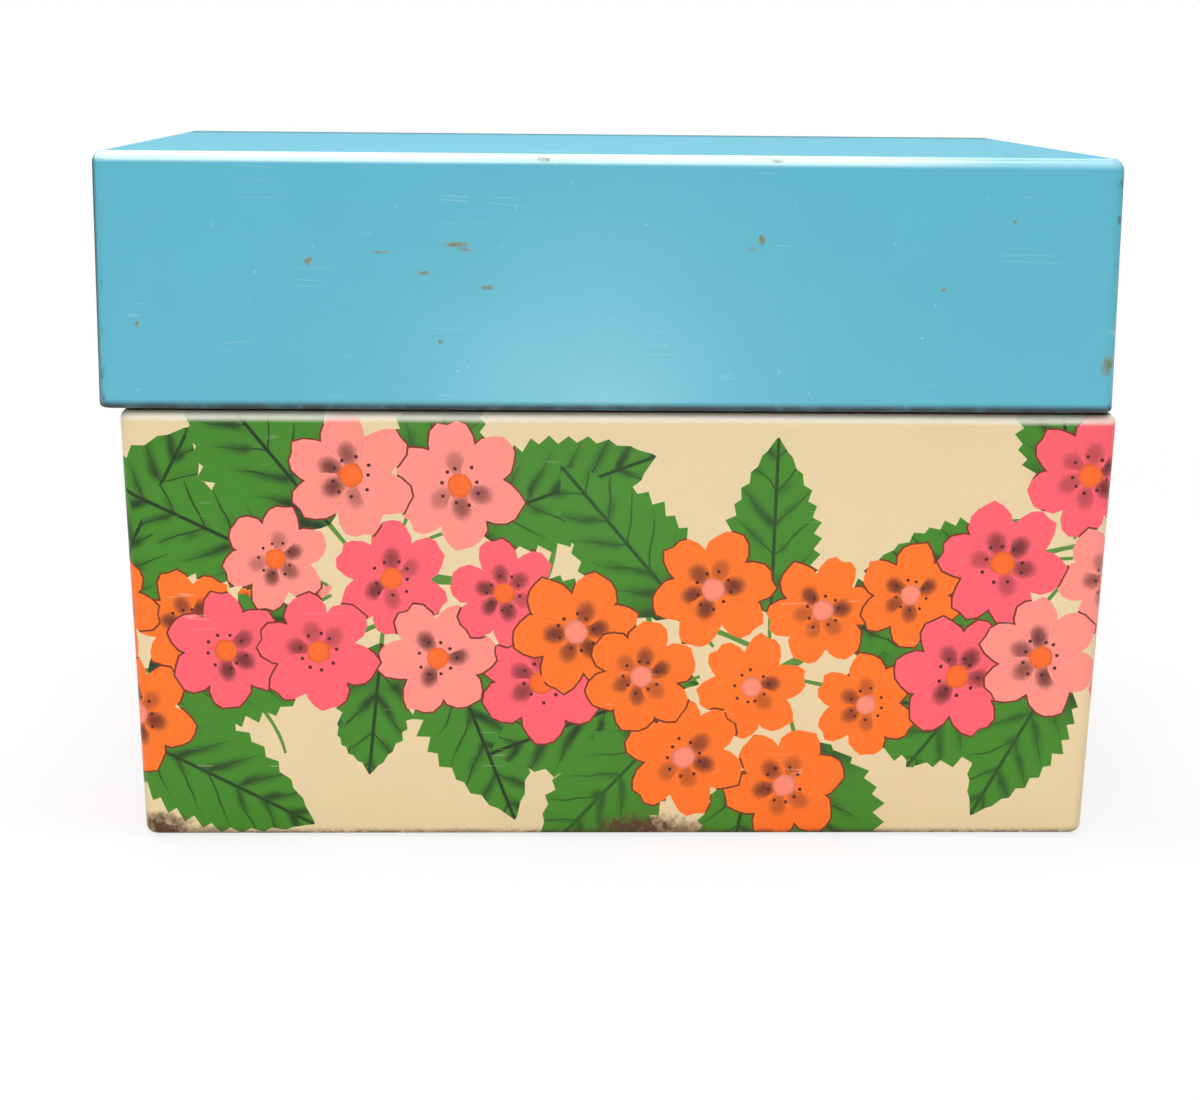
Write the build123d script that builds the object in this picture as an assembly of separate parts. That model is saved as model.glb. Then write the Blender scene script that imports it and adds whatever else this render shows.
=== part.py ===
from build123d import *

import math
import os

# Recipe card box of printed tinplate. A tapered body bends in at a rounded shoulder to a neck, and a
# deep lid drops over the neck and swings on a wire along the back.
# Millimetres. +X is to the right seen from the front, +Y points to the back, +Z is up.
# The origin is the centre of the underside, in the plane that the box stands on.

# ---------------------------------------------------------------- driving sizes
SHEET = 0.35  # tinplate of the wall, the floor and the lid

LID_WIDTH = 138.0  # over the outside
LID_DEPTH = 95.25
LID_HEIGHT = 34.3  # from the rolled lower edge to the top
LID_CORNER_RADIUS = 2.0  # outside of the upright corners
LID_EDGE_RADIUS = 1.6  # outside of the edge round the top
LID_ROLL_RADIUS = 0.6  # outside of the roll along the front and side edges
LID_FORWARD = 0.4  # the lid's centre stands this far in front of the body's

LAP_WIDTH = 9.0  # corner laps inside the lid, along the front and back walls
LAP_MARGIN = 1.2  # bare wall left above the roll and below the top at each lap
HEM_RELIEF = 3.0  # plain edge left beside the hinge roll, at the back corners

BODY_HEIGHT = 60.7  # underside to the top of the shoulder
BODY_TAPER = 1.75  # how far each side leans in, from the shoulder to the underside
BODY_CORNER_RADIUS = 2.0  # outside of the upright corners
SHOULDER_RADIUS = 1.4  # outside of the bend at the top of the sides
BOTTOM_EDGE_RADIUS = 1.2  # outside of the bend at the foot of the sides
LEDGE_WIDTH = 4.0  # turned-in foot that carries the floor
LEDGE_CORNER_RADIUS = 1.5  # corners of the opening inside the ledge
LID_OVERHANG = 0.75  # the lid is this much wider than the body's top, on each side

NECK_HEIGHT = 10.0  # above the shoulder
NECK_CORNER_RADIUS = 2.6  # outside
NECK_BEND_RADIUS = 0.4  # hollow bend between the shoulder and the neck
NECK_ROLL_RADIUS = 0.75  # outside of the roll along the neck's rim

FLOOR_FLANGE = 5.0  # height of the floor's upturned edge
PANEL_MARGIN = 9.0  # flat rim of the floor round its raised panel
PANEL_RISE = 0.8
PANEL_CORNER_RADIUS = 5.0
PANEL_EDGE_RADIUS = 0.7  # upper edge of the raised panel

SEAM_WIDTH = 6.0  # lock seam of the wall, flattened against the inside of the back
SEAM_LAYERS = 2  # sheets that the seam adds to the wall
SEAM_MARGIN = 2.5  # plain wall below the shoulder and above the floor's edge

WIRE_RADIUS = 0.75
WIRE_TIP = 1.0  # wire that shows past each end of the hinge roll
WIRE_TIP_ROUNDING = 0.2
STRAP_THICKNESS = 0.4
STRAP_WIDTH = 12.0
STRAP_SPREAD = 72.0  # between the middles of the two straps
STRAP_LEG = 11.0  # flat leg on the inside of the back wall
STRAP_JOG = 2.4  # height of the bend between the stem and the leg

# ---------------------------------------------------------------- clearances
SHOULDER_GAP = 0.3  # between the closed lid and the shoulder
LOOP_GAP = 0.2  # between a strap's loop and the shoulder
NECK_CLEARANCE = 0.25  # between the lid's roll and the neck, with the lid slid to one end
HINGE_PLAY = 1.95  # how far the lid can slide along the wire, each way
STRAP_END_GAP = 0.22  # left between strap and notch on the side that the lid has slid to
PIN_CLEARANCE = 0.05  # between the wire and a strap's loop
STRAP_NECK_GAP = 0.3  # least gap between a strap's loop and the neck
SLOT_CLEARANCE = 0.1  # round a strap's stem where it passes through the shoulder
NOTCH_CLEARANCE = 0.5  # above a strap's loop, in the lid's back wall
FLANGE_GAP = 0.05  # between the floor's upturned edge and the wall

# ---------------------------------------------------------------- forming
ROLL_WRAP = 225.0  # degrees that a rolled edge turns through
LOOP_WRAP = 290.0  # degrees that a strap's loop goes round the wire
LEAST_BEND = 0.05  # no bend is sharper than this
LEVEL_TOLERANCE = 0.01  # how near to a height an edge lies to be on it
CUT_REACH = 5.0  # how far a cutting solid passes the metal that it cuts

# ---------------------------------------------------------------- worked out
HINGE_ROLL_RADIUS = WIRE_RADIUS + SHEET
LOOP_INNER_RADIUS = WIRE_RADIUS + PIN_CLEARANCE
LOOP_OUTER_RADIUS = LOOP_INNER_RADIUS + STRAP_THICKNESS
HINGE_Z = BODY_HEIGHT + max(SHOULDER_GAP + HINGE_ROLL_RADIUS, LOOP_GAP + LOOP_OUTER_RADIUS)

LID_BOTTOM = HINGE_Z - HINGE_ROLL_RADIUS
LID_TOP = LID_BOTTOM + LID_HEIGHT
LID_X = STRAP_END_GAP - HINGE_PLAY
LID_Y = -LID_FORWARD
LID_BACK = LID_Y + LID_DEPTH / 2
LID_FRONT = LID_Y - LID_DEPTH / 2
LID_ROLL_Z = LID_BOTTOM + LID_ROLL_RADIUS

HINGE_Y = LID_BACK - HINGE_ROLL_RADIUS
HEM_END = HINGE_Y - HEM_RELIEF
HINGE_ROLL_LENGTH = LID_WIDTH - 2 * (LID_CORNER_RADIUS + HEM_RELIEF)
NOTCH_WIDTH = STRAP_WIDTH + 2 * HINGE_PLAY
NOTCH_TOP = HINGE_Z + LOOP_OUTER_RADIUS + NOTCH_CLEARANCE
STEM_Y = HINGE_Y - LOOP_OUTER_RADIUS + STRAP_THICKNESS / 2

BODY_TOP_WIDTH = LID_WIDTH - 2 * LID_OVERHANG
BODY_TOP_DEPTH = LID_DEPTH - 2 * LID_OVERHANG
ROOM_FOR_ROLL = 2 * LID_ROLL_RADIUS + HINGE_PLAY + NECK_CLEARANCE - LID_OVERHANG
ROOM_FOR_HINGE = BODY_TOP_DEPTH / 2 - (HINGE_Y - LOOP_OUTER_RADIUS - STRAP_NECK_GAP)
SHOULDER_WIDTH = max(ROOM_FOR_ROLL, ROOM_FOR_HINGE)
SHOULDER_FLAT = SHOULDER_WIDTH - SHOULDER_RADIUS - NECK_BEND_RADIUS
NECK_WIDTH = BODY_TOP_WIDTH - 2 * SHOULDER_WIDTH
NECK_DEPTH = BODY_TOP_DEPTH - 2 * SHOULDER_WIDTH
NECK_ROLL_Z = BODY_HEIGHT + NECK_HEIGHT - NECK_ROLL_RADIUS

FLOOR_INSET = SHEET + FLANGE_GAP
FLOOR_TOP = SHEET + FLOOR_FLANGE
LEAN = math.atan2(BODY_TAPER, BODY_HEIGHT)


# ---------------------------------------------------------------- shared shapes
def bend(radius):
    """A bend's radius, kept above nothing where the sheet is thicker than the bend."""
    return max(radius, LEAST_BEND)


def block(width, depth, radius, low, high, x=0.0, y=0.0):
    """An upright block with rounded corners, from one height to another."""
    outline = RectangleRounded(width, depth, bend(radius))
    return extrude(Pos(x, y, low) * outline, amount=high - low)


def cutter(x_range, y_range, z_range):
    """A plain box between three pairs of limits."""
    spans = [high - low for low, high in (x_range, y_range, z_range)]
    middle = [(low + high) / 2 for low, high in (x_range, y_range, z_range)]
    return Pos(*middle) * Box(*spans)


def round_level(part, level, radius, reach=None):
    """Round the edges that lie at one height: all of them, or those within reach of the middle."""
    def chosen(edge):
        span = edge.bounding_box()
        flat = max(abs(span.min.Z - level), abs(span.max.Z - level)) < LEVEL_TOLERANCE
        middle = edge.center()
        return flat and (reach is None or abs(middle.X) < reach[0] and abs(middle.Y) < reach[1])
    return fillet([edge for edge in part.edges() if chosen(edge)], bend(radius))


def arc_band(centre, inner_radius, outer_radius, start, turn):
    """A curved strip of sheet seen from its end: part of a ring."""
    inner = CenterArc(centre, bend(inner_radius), start, turn)
    outer = CenterArc(centre, outer_radius, start, turn)
    return make_face([inner, outer, Line(inner @ 0, outer @ 0), Line(inner @ 1, outer @ 1)])


def crossing(first, second):
    """Where two lines, each given by two points, cross."""
    (x1, y1), (x2, y2) = first
    (x3, y3), (x4, y4) = second
    spread = (x1 - x2) * (y3 - y4) - (y1 - y2) * (x3 - x4)
    one = x1 * y2 - y1 * x2
    two = x3 * y4 - y3 * x4
    return ((one * (x3 - x4) - (x1 - x2) * two) / spread, (one * (y3 - y4) - (y1 - y2) * two) / spread)


def ribbon(points, thickness):
    """A folded strip of sheet seen from its end, with mitred folds, along a line of points."""
    def side(sign):
        runs = []
        for (x1, y1), (x2, y2) in zip(points, points[1:]):
            shift = sign * thickness / 2 / math.dist((x1, y1), (x2, y2))
            dx, dy = (y1 - y2) * shift, (x2 - x1) * shift
            runs.append(((x1 + dx, y1 + dy), (x2 + dx, y2 + dy)))
        folds = [crossing(before, after) for before, after in zip(runs, runs[1:])]
        return [runs[0][0], *folds, runs[-1][1]]
    return make_face(Polyline(*side(1), *reversed(side(-1)), close=True))


def along_x(section, length, x=0.0):
    """Draw a section of the YZ plane out along X, with x in the middle."""
    return Pos(x, 0, 0) * extrude(Plane.YZ * section, amount=length / 2, both=True)


def rolled_rim(section, centres, closed):
    """Lay the section of a rolled edge round a box: straight runs, and a quarter turn at each corner.

    The centres are those of the upright corners, anticlockwise from above. The section's x is the
    distance outwards from the line between them, and its y is the height.
    """
    upright = Vector(0, 0, 1)
    ends = centres[1:] + centres[:1] if closed else centres[1:]
    pieces = []
    for start, end in zip(centres, ends):
        along = (Vector(*end, 0) - Vector(*start, 0)).normalized()
        outward = along.cross(upright)
        plane = Plane(origin=(*start, 0), x_dir=outward, z_dir=-along)
        pieces.append(extrude(plane * section, amount=-math.dist(start, end)))
        if closed or end != centres[-1]:
            turn_plane = Plane(origin=(*end, 0), x_dir=outward, z_dir=-along)
            pieces.append(revolve(turn_plane * section, Axis((*end, 0), (0, 0, 1)), 90))
    return pieces


# ---------------------------------------------------------------- body
def lean_at(height):
    """How far the body's sides lean in at a height."""
    return BODY_TAPER * (1 - height / BODY_HEIGHT)


def inner_back(height):
    """The y of the inside of the body's back wall at a height."""
    return BODY_TOP_DEPTH / 2 - lean_at(height) - SHEET


def tapered_block(inset, low, high):
    """The body's tapered outside, moved in by inset, between two heights."""
    def outline(height):
        less = 2 * (lean_at(height) + inset)
        corner = bend(BODY_CORNER_RADIUS - inset)
        return Pos(0, 0, height) * RectangleRounded(BODY_TOP_WIDTH - less, BODY_TOP_DEPTH - less, corner)
    return loft([outline(low), outline(high)], ruled=True)


def body_form(inset, neck_top):
    """The body's whole outside as a solid, moved in by inset: taper, shoulder and neck."""
    shoulder = BODY_HEIGHT - inset
    form = tapered_block(inset, inset, shoulder)
    form = round_level(form, shoulder, SHOULDER_RADIUS - inset)
    form = round_level(form, inset, BOTTOM_EDGE_RADIUS - inset)
    neck_width, neck_depth = NECK_WIDTH - 2 * inset, NECK_DEPTH - 2 * inset
    form += block(neck_width, neck_depth, NECK_CORNER_RADIUS - inset, BODY_HEIGHT / 2, neck_top)
    reach = (neck_width / 2 + SHOULDER_FLAT / 2, neck_depth / 2 + SHOULDER_FLAT / 2)
    return round_level(form, shoulder, NECK_BEND_RADIUS + inset, reach)


def wall_seam():
    """The lock seam: folded layers of the wall, flat against the inside of the back."""
    depth = SEAM_LAYERS * SHEET
    heights = (FLOOR_TOP + SEAM_MARGIN, BODY_HEIGHT - SHOULDER_RADIUS - SEAM_MARGIN)
    line = [(inner_back(z) - depth / 2 / math.cos(LEAN), z) for z in heights]
    return along_x(ribbon(line, depth), SEAM_WIDTH)


def strap_slot(x):
    """The slot in the shoulder that a strap's stem passes through."""
    half_width = STRAP_WIDTH / 2 + SLOT_CLEARANCE
    half_depth = STRAP_THICKNESS / 2 + SLOT_CLEARANCE
    return cutter((x - half_width, x + half_width), (STEM_Y - half_depth, STEM_Y + half_depth),
                  (BODY_HEIGHT - 2 * SHEET, BODY_HEIGHT + SHEET))


def make_body_wall():
    """One wrap of sheet: turned-in foot, tapered sides, shoulder, neck and rolled rim."""
    wall = body_form(0, NECK_ROLL_Z) - body_form(SHEET, NECK_ROLL_Z + CUT_REACH)
    less = 2 * (BODY_TAPER + LEDGE_WIDTH)
    wall -= block(BODY_TOP_WIDTH - less, BODY_TOP_DEPTH - less, LEDGE_CORNER_RADIUS,
                  -CUT_REACH, SHEET + CUT_REACH)
    half_x = NECK_WIDTH / 2 - NECK_CORNER_RADIUS
    half_y = NECK_DEPTH / 2 - NECK_CORNER_RADIUS
    centres = [(-half_x, -half_y), (half_x, -half_y), (half_x, half_y), (-half_x, half_y)]
    roll = arc_band((NECK_CORNER_RADIUS - NECK_ROLL_RADIUS, NECK_ROLL_Z),
                    NECK_ROLL_RADIUS - SHEET, NECK_ROLL_RADIUS, 0, ROLL_WRAP)
    for piece in rolled_rim(roll, centres, closed=True):
        wall += piece
    wall += wall_seam()
    for x in strap_places():
        wall -= strap_slot(x)
    return wall


def make_body_floor():
    """The bottom: a shallow tray on the wall's foot, with a raised panel pressed into it."""
    floor = round_level(tapered_block(FLOOR_INSET, SHEET, FLOOR_TOP), SHEET, BOTTOM_EDGE_RADIUS - SHEET)
    hollow = tapered_block(FLOOR_INSET + SHEET, 2 * SHEET, FLOOR_TOP + CUT_REACH)
    floor -= round_level(hollow, 2 * SHEET, BOTTOM_EDGE_RADIUS - 2 * SHEET)
    less = 2 * (BODY_TAPER + PANEL_MARGIN)
    width, depth = BODY_TOP_WIDTH - less, BODY_TOP_DEPTH - less
    panel_top = 2 * SHEET + PANEL_RISE
    panel = block(width, depth, PANEL_CORNER_RADIUS, SHEET, panel_top)
    floor += round_level(panel, panel_top, PANEL_EDGE_RADIUS)
    dish_top = panel_top - SHEET
    dish = block(width - 2 * SHEET, depth - 2 * SHEET, PANEL_CORNER_RADIUS - SHEET, 0, dish_top)
    return floor - round_level(dish, dish_top, PANEL_EDGE_RADIUS - SHEET)


# ---------------------------------------------------------------- lid
def lid_form(inset, low):
    """The lid's outside as a solid, moved in by inset, down to a height."""
    form = block(LID_WIDTH - 2 * inset, LID_DEPTH - 2 * inset, LID_CORNER_RADIUS - inset,
                 low, LID_TOP - inset, LID_X, LID_Y)
    return round_level(form, LID_TOP - inset, LID_EDGE_RADIUS - inset)


def lid_laps():
    """Folded laps of the side walls, flat against the inside of the front and back walls."""
    laps = []
    top = LID_TOP - LID_EDGE_RADIUS - LAP_MARGIN
    for side in (-1, 1):
        edge = LID_X + side * (LID_WIDTH / 2 - LID_CORNER_RADIUS)
        across = sorted((edge, edge - side * LAP_WIDTH))
        front_foot = LID_BOTTOM + 2 * LID_ROLL_RADIUS + LAP_MARGIN
        back_foot = HINGE_Z + HINGE_ROLL_RADIUS + LAP_MARGIN
        laps.append(cutter(across, (LID_FRONT + SHEET, LID_FRONT + 2 * SHEET), (front_foot, top)))
        laps.append(cutter(across, (LID_BACK - 2 * SHEET, LID_BACK - SHEET), (back_foot, top)))
    return laps


def hinge_notch(x):
    """The gap in the lid's back edge that leaves a strap room to loop round the wire."""
    return cutter((x - NOTCH_WIDTH / 2, x + NOTCH_WIDTH / 2),
                  (HINGE_Y - HINGE_ROLL_RADIUS - CUT_REACH, LID_BACK + CUT_REACH),
                  (LID_BOTTOM - CUT_REACH, NOTCH_TOP))


def make_lid_shell():
    """One sheet folded to a deep lid, its edge rolled in, and rolled round the wire at the back."""
    lid = lid_form(0, LID_ROLL_Z) - lid_form(SHEET, LID_ROLL_Z - CUT_REACH)
    outside = LID_WIDTH / 2 + CUT_REACH
    lid -= cutter((LID_X - outside, LID_X + outside), (HEM_END, LID_BACK + CUT_REACH),
                  (LID_ROLL_Z - CUT_REACH, HINGE_Z))
    half_x = LID_WIDTH / 2 - LID_CORNER_RADIUS
    front = LID_FRONT + LID_CORNER_RADIUS
    centres = [(LID_X - half_x, HEM_END), (LID_X - half_x, front),
               (LID_X + half_x, front), (LID_X + half_x, HEM_END)]
    roll = arc_band((LID_CORNER_RADIUS - LID_ROLL_RADIUS, LID_ROLL_Z),
                    LID_ROLL_RADIUS - SHEET, LID_ROLL_RADIUS, 0, -ROLL_WRAP)
    for piece in rolled_rim(roll, centres, closed=False) + lid_laps():
        lid += piece
    hinge_roll = arc_band((HINGE_Y, HINGE_Z), WIRE_RADIUS, HINGE_ROLL_RADIUS, 0, -ROLL_WRAP)
    lid += along_x(hinge_roll, HINGE_ROLL_LENGTH, LID_X)
    for x in strap_places():
        lid -= hinge_notch(LID_X + x)
    return lid


# ---------------------------------------------------------------- hinge
def strap_places():
    """The x of the middle of each strap, left and right."""
    return (-STRAP_SPREAD / 2, STRAP_SPREAD / 2)


def make_hinge_wire():
    """The steel wire that the lid's back edge is rolled round."""
    length = HINGE_ROLL_LENGTH + 2 * WIRE_TIP
    wire = extrude(Plane.YZ * Circle(WIRE_RADIUS), amount=length / 2, both=True)
    rims = [edge for edge in wire.edges() if edge.geom_type == GeomType.CIRCLE]
    return Pos(LID_X, HINGE_Y, HINGE_Z) * fillet(rims, WIRE_TIP_ROUNDING)


def make_hinge_strap(x):
    """A strap: a loop round the wire, a stem through the shoulder and a leg on the back wall."""
    jog_top = BODY_HEIGHT - 2 * SHEET
    leg_top = jog_top - STRAP_JOG
    off_wall = STRAP_THICKNESS / 2 / math.cos(LEAN)
    leg = [(inner_back(z) - off_wall, z) for z in (leg_top, leg_top - STRAP_LEG)]
    stem = ribbon([(STEM_Y, HINGE_Z), (STEM_Y, jog_top), *leg], STRAP_THICKNESS)
    loop = arc_band((HINGE_Y, HINGE_Z), LOOP_INNER_RADIUS, LOOP_OUTER_RADIUS, 180, -LOOP_WRAP)
    return along_x(stem + loop, STRAP_WIDTH, x)


# ---------------------------------------------------------------- files
def main():
    """Write one file for each piece."""
    left, right = strap_places()
    pieces = {
        "body_wall": make_body_wall(),
        "body_floor": make_body_floor(),
        "lid_shell": make_lid_shell(),
        "hinge_wire": make_hinge_wire(),
        "hinge_strap_left": make_hinge_strap(left),
        "hinge_strap_right": make_hinge_strap(right),
    }
    os.makedirs("parts", exist_ok=True)
    for name, piece in pieces.items():
        export_step(piece, os.path.join("parts", name + ".step"))


main()
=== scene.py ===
import logging
import math
import random
from dataclasses import dataclass, field
from enum import Enum, IntEnum
from typing import Callable, Mapping, Sequence

import bpy
from mathutils import Matrix, Vector
from mathutils.geometry import delaunay_2d_cdt


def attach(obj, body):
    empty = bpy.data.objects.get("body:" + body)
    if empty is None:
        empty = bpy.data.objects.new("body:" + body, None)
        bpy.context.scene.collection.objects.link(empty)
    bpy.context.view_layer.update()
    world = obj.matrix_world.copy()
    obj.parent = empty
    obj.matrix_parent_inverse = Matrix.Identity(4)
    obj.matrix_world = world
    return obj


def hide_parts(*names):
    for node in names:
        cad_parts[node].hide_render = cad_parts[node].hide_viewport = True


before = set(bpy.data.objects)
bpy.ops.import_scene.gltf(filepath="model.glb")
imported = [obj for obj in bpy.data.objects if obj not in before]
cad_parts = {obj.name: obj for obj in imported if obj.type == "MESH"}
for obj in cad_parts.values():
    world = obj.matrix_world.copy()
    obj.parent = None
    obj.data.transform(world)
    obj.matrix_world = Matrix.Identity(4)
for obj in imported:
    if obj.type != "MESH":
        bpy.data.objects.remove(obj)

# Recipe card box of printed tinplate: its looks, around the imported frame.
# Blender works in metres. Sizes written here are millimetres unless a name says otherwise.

MM = 0.001
ROUND_OFF = 1e-6
WELD_STEPS = 2000  # points are welded on a grid of this many steps to a millimetre
LOG = logging.getLogger("recipe_card_box")
Point = tuple[float, float]
Colour = tuple[float, float, float, float]


def paint(red: int, green: int, blue: int) -> Colour:
    """A colour as it is seen on a screen, as Blender's linear colour.

    Args:
        red: red, 0 to 255.
        green: green, 0 to 255.
        blue: blue, 0 to 255.

    Returns:
        The linear colour, opaque.
    """
    def linear(level: int) -> float:
        """One channel, linear."""
        share = level / 255
        return share / 12.92 if share <= 0.04045 else ((share + 0.055) / 1.055) ** 2.4
    return linear(red), linear(green), linear(blue), 1.0


# ---------------------------------------------------------------- shader wiring
class Wire:
    """A number in a material's node tree. Arithmetic on it adds Math nodes."""

    def __init__(self, graph: "Graph", socket: bpy.types.NodeSocket) -> None:
        """Keep the socket and the graph that it belongs to.

        Args:
            graph: the material's graph.
            socket: the output that carries the number.
        """
        self.graph = graph
        self.socket = socket

    def __add__(self, other: "Wire | float") -> "Wire":
        """This plus other."""
        return self.graph.maths("ADD", self, other)

    def __radd__(self, other: float) -> "Wire":
        """Other plus this."""
        return self.graph.maths("ADD", other, self)

    def __sub__(self, other: "Wire | float") -> "Wire":
        """This less other."""
        return self.graph.maths("SUBTRACT", self, other)

    def __rsub__(self, other: float) -> "Wire":
        """Other less this."""
        return self.graph.maths("SUBTRACT", other, self)

    def __mul__(self, other: "Wire | float") -> "Wire":
        """This times other."""
        return self.graph.maths("MULTIPLY", self, other)

    def __rmul__(self, other: float) -> "Wire":
        """Other times this."""
        return self.graph.maths("MULTIPLY", other, self)

    def __truediv__(self, other: "Wire | float") -> "Wire":
        """This over other."""
        return self.graph.maths("DIVIDE", self, other)

    def __pow__(self, other: "Wire | float") -> "Wire":
        """This to the power of other."""
        return self.graph.maths("POWER", self, other)

    def __abs__(self) -> "Wire":
        """This without its sign."""
        return self.graph.maths("ABSOLUTE", self)

    def most(self, other: "Wire | float") -> "Wire":
        """The greater of this and other."""
        return self.graph.maths("MAXIMUM", self, other)

    def least(self, other: "Wire | float") -> "Wire":
        """The lesser of this and other."""
        return self.graph.maths("MINIMUM", self, other)

    def fraction(self) -> "Wire":
        """What is left of this after its whole part."""
        return self.graph.maths("FRACT", self)

    def sine(self) -> "Wire":
        """The sine of this, in radians."""
        return self.graph.maths("SINE", self)

    def ramp(self, low: float, high: float) -> "Wire":
        """0 at low and 1 at high, with soft ends. Low may be above high.

        Args:
            low: where the result is 0.
            high: where the result is 1.

        Returns:
            The soft step.
        """
        turned = low > high
        settings = {"interpolation_type": "SMOOTHSTEP"}
        values = {"Value": self, "From Min": min(low, high), "From Max": max(low, high)}
        if turned:
            values.update({"To Min": 1.0, "To Max": 0.0})
        return self.graph.number("ShaderNodeMapRange", settings, values)


Feed = Wire | bpy.types.NodeSocket | float | Sequence[float]


class Graph:
    """The node tree of one material, with a Principled shader at its end."""

    def __init__(self, name: str) -> None:
        """Make a material with only its shader and output.

        Args:
            name: the material's name.
        """
        self.material = bpy.data.materials.new(name)
        self.material.use_nodes = True
        self.tree = self.material.node_tree
        self.tree.nodes.clear()
        self.shader = self.node("ShaderNodeBsdfPrincipled")
        self.output = self.node("ShaderNodeOutputMaterial", {}, {"Surface": self.shader.outputs[0]})
        here = self.node("ShaderNodeTexCoord").outputs["Object"]
        self.place = self.vector("SCALE", here, Scale=1 / MM)
        parts = self.node("ShaderNodeSeparateXYZ", {}, {0: self.place})
        self.x, self.y, self.z = (Wire(self, out) for out in parts.outputs)

    def node(self, kind: str, settings: Mapping[str, object] | None = None,
             values: Mapping[str | int, Feed] | None = None) -> bpy.types.Node:
        """Add a node.

        Args:
            kind: the node's type.
            settings: its settings, set first.
            values: what each input holds or is linked to.

        Returns:
            The node.
        """
        made = self.tree.nodes.new(kind)
        for key, value in (settings or {}).items():
            setattr(made, key, value)
        for key, value in (values or {}).items():
            self.feed(made.inputs[key], value)
        return made

    def feed(self, socket: bpy.types.NodeSocket, value: Feed) -> None:
        """Link a value to an input, or write it there.

        Args:
            socket: the input.
            value: a wire, an output, or a plain value.
        """
        if isinstance(value, Wire):
            value = value.socket
        if isinstance(value, bpy.types.NodeSocket):
            self.tree.links.new(value, socket)
        else:
            socket.default_value = value[:3] if socket.type == "VECTOR" else value

    def number(self, kind: str, settings: Mapping[str, object], values: Mapping[str | int, Feed],
               output: str | int = 0) -> Wire:
        """Add a node and take a number from it.

        Args:
            kind: the node's type.
            settings: its settings.
            values: its inputs.
            output: the output to take.

        Returns:
            The number.
        """
        return Wire(self, self.node(kind, settings, values).outputs[output])

    def maths(self, operation: str, *values: Wire | float) -> Wire:
        """Add a Math node.

        Args:
            operation: what it works out.
            values: its inputs.

        Returns:
            Its result.
        """
        return self.number("ShaderNodeMath", {"operation": operation}, dict(enumerate(values)))

    def vector(self, operation: str, first: Feed, second: Feed | None = None,
               **named: Feed) -> bpy.types.NodeSocket:
        """Add a Vector Math node.

        Args:
            operation: what it works out.
            first: its first vector.
            second: its second vector, where it has one.
            named: other inputs by name.

        Returns:
            Its vector.
        """
        values: dict[str | int, Feed] = {0: first, **named}
        if second is not None:
            values[1] = second
        return self.node("ShaderNodeVectorMath", {"operation": operation}, values).outputs[0]

    def joined(self, x: Wire | float, y: Wire | float, z: Wire | float) -> bpy.types.NodeSocket:
        """A vector of three numbers."""
        return self.node("ShaderNodeCombineXYZ", {}, {0: x, 1: y, 2: z}).outputs[0]

    def mixed(self, share: Wire | float, first: Feed, second: Feed) -> bpy.types.NodeSocket:
        """One colour with another laid over it.

        Args:
            share: how much of the second shows.
            first: the colour below.
            second: the colour above.

        Returns:
            The mixed colour.
        """
        node = self.node("ShaderNodeMix", {"data_type": "RGBA"}, {0: share, 6: first, 7: second})
        return node.outputs[2]

    def toned(self, colour: Feed, tone: Wire) -> bpy.types.NodeSocket:
        """A colour made lighter or darker by a factor near 1."""
        return self.vector("MULTIPLY", colour, self.joined(tone, tone, tone))

    def noise(self, size: float, detail: float = 2.0, where: Feed | None = None,
              roughness: float = 0.5) -> Wire:
        """Smooth noise from 0 to 1.

        Args:
            size: millimetres from one blot to the next.
            detail: how many finer layers it has.
            where: where it is read; by default the place on the object.
            roughness: the strength of the finer layers.

        Returns:
            The noise.
        """
        place = self.place if where is None else where
        values = {"Vector": place, "Scale": 1 / size, "Detail": detail, "Roughness": roughness}
        return self.number("ShaderNodeTexNoise", {}, values, "Fac")

    def scratches(self, size: float, slope: float, thin: float) -> Wire:
        """Fine lines that lie roughly one way, where stretched noise crosses its middle.

        Args:
            size: millimetres between them.
            slope: how much they lean, in radians.
            thin: how wide they are, as a share of the noise.

        Returns:
            1 on a scratch and 0 elsewhere.
        """
        lying = {"Rotation": (0.0, slope, slope / 2), "Scale": (0.03, 0.03, 1.0)}
        stretched = self.node("ShaderNodeMapping", {"vector_type": "POINT"},
                              {"Vector": self.place, **lying}).outputs[0]
        lines = abs(self.noise(size, 0.0, stretched) - 0.5).ramp(thin, thin * 0.3)
        patches = self.noise(size * 2.5, 1.0).ramp(0.64, 0.70)
        return lines * patches

    def bumped(self, height: Wire, depth: float) -> bpy.types.NodeSocket:
        """A normal that follows a height.

        Args:
            height: the height, from 0 to 1.
            depth: how many millimetres it stands for.

        Returns:
            The normal.
        """
        values = {"Height": height, "Distance": depth * MM, "Strength": 1.0}
        return self.node("ShaderNodeBump", {}, values).outputs[0]

    def finish(self, **values: Feed) -> bpy.types.Material:
        """Feed the shader, with spaces in its socket names written as underscores.

        Args:
            values: what each socket holds or is linked to.

        Returns:
            The material.
        """
        for key, value in values.items():
            self.feed(self.shader.inputs[key.replace("_", " ")], value)
        return self.material


# ---------------------------------------------------------------- the print
class Kind(IntEnum):
    """What an inked shape is, which picks the shading drawn over it."""

    GROUND = 0
    PETAL = 1
    LEAF = 2
    BUTTON = 3
    LINE = 4
    OUTLINE = 5


class Ink(Enum):
    """The colours of the print."""

    CREAM = paint(233, 210, 165)
    ORANGE = paint(254, 117, 20)
    CORAL = paint(254, 96, 108)
    SALMON = paint(254, 145, 132)
    GREEN = paint(63, 134, 22)
    STEM = paint(84, 140, 44)
    BUTTON_PINK = paint(253, 140, 115)
    BUTTON_ORANGE = paint(254, 107, 25)
    PLUM = paint(74, 22, 14)
    OVERPRINT = paint(120, 40, 14)


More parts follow.
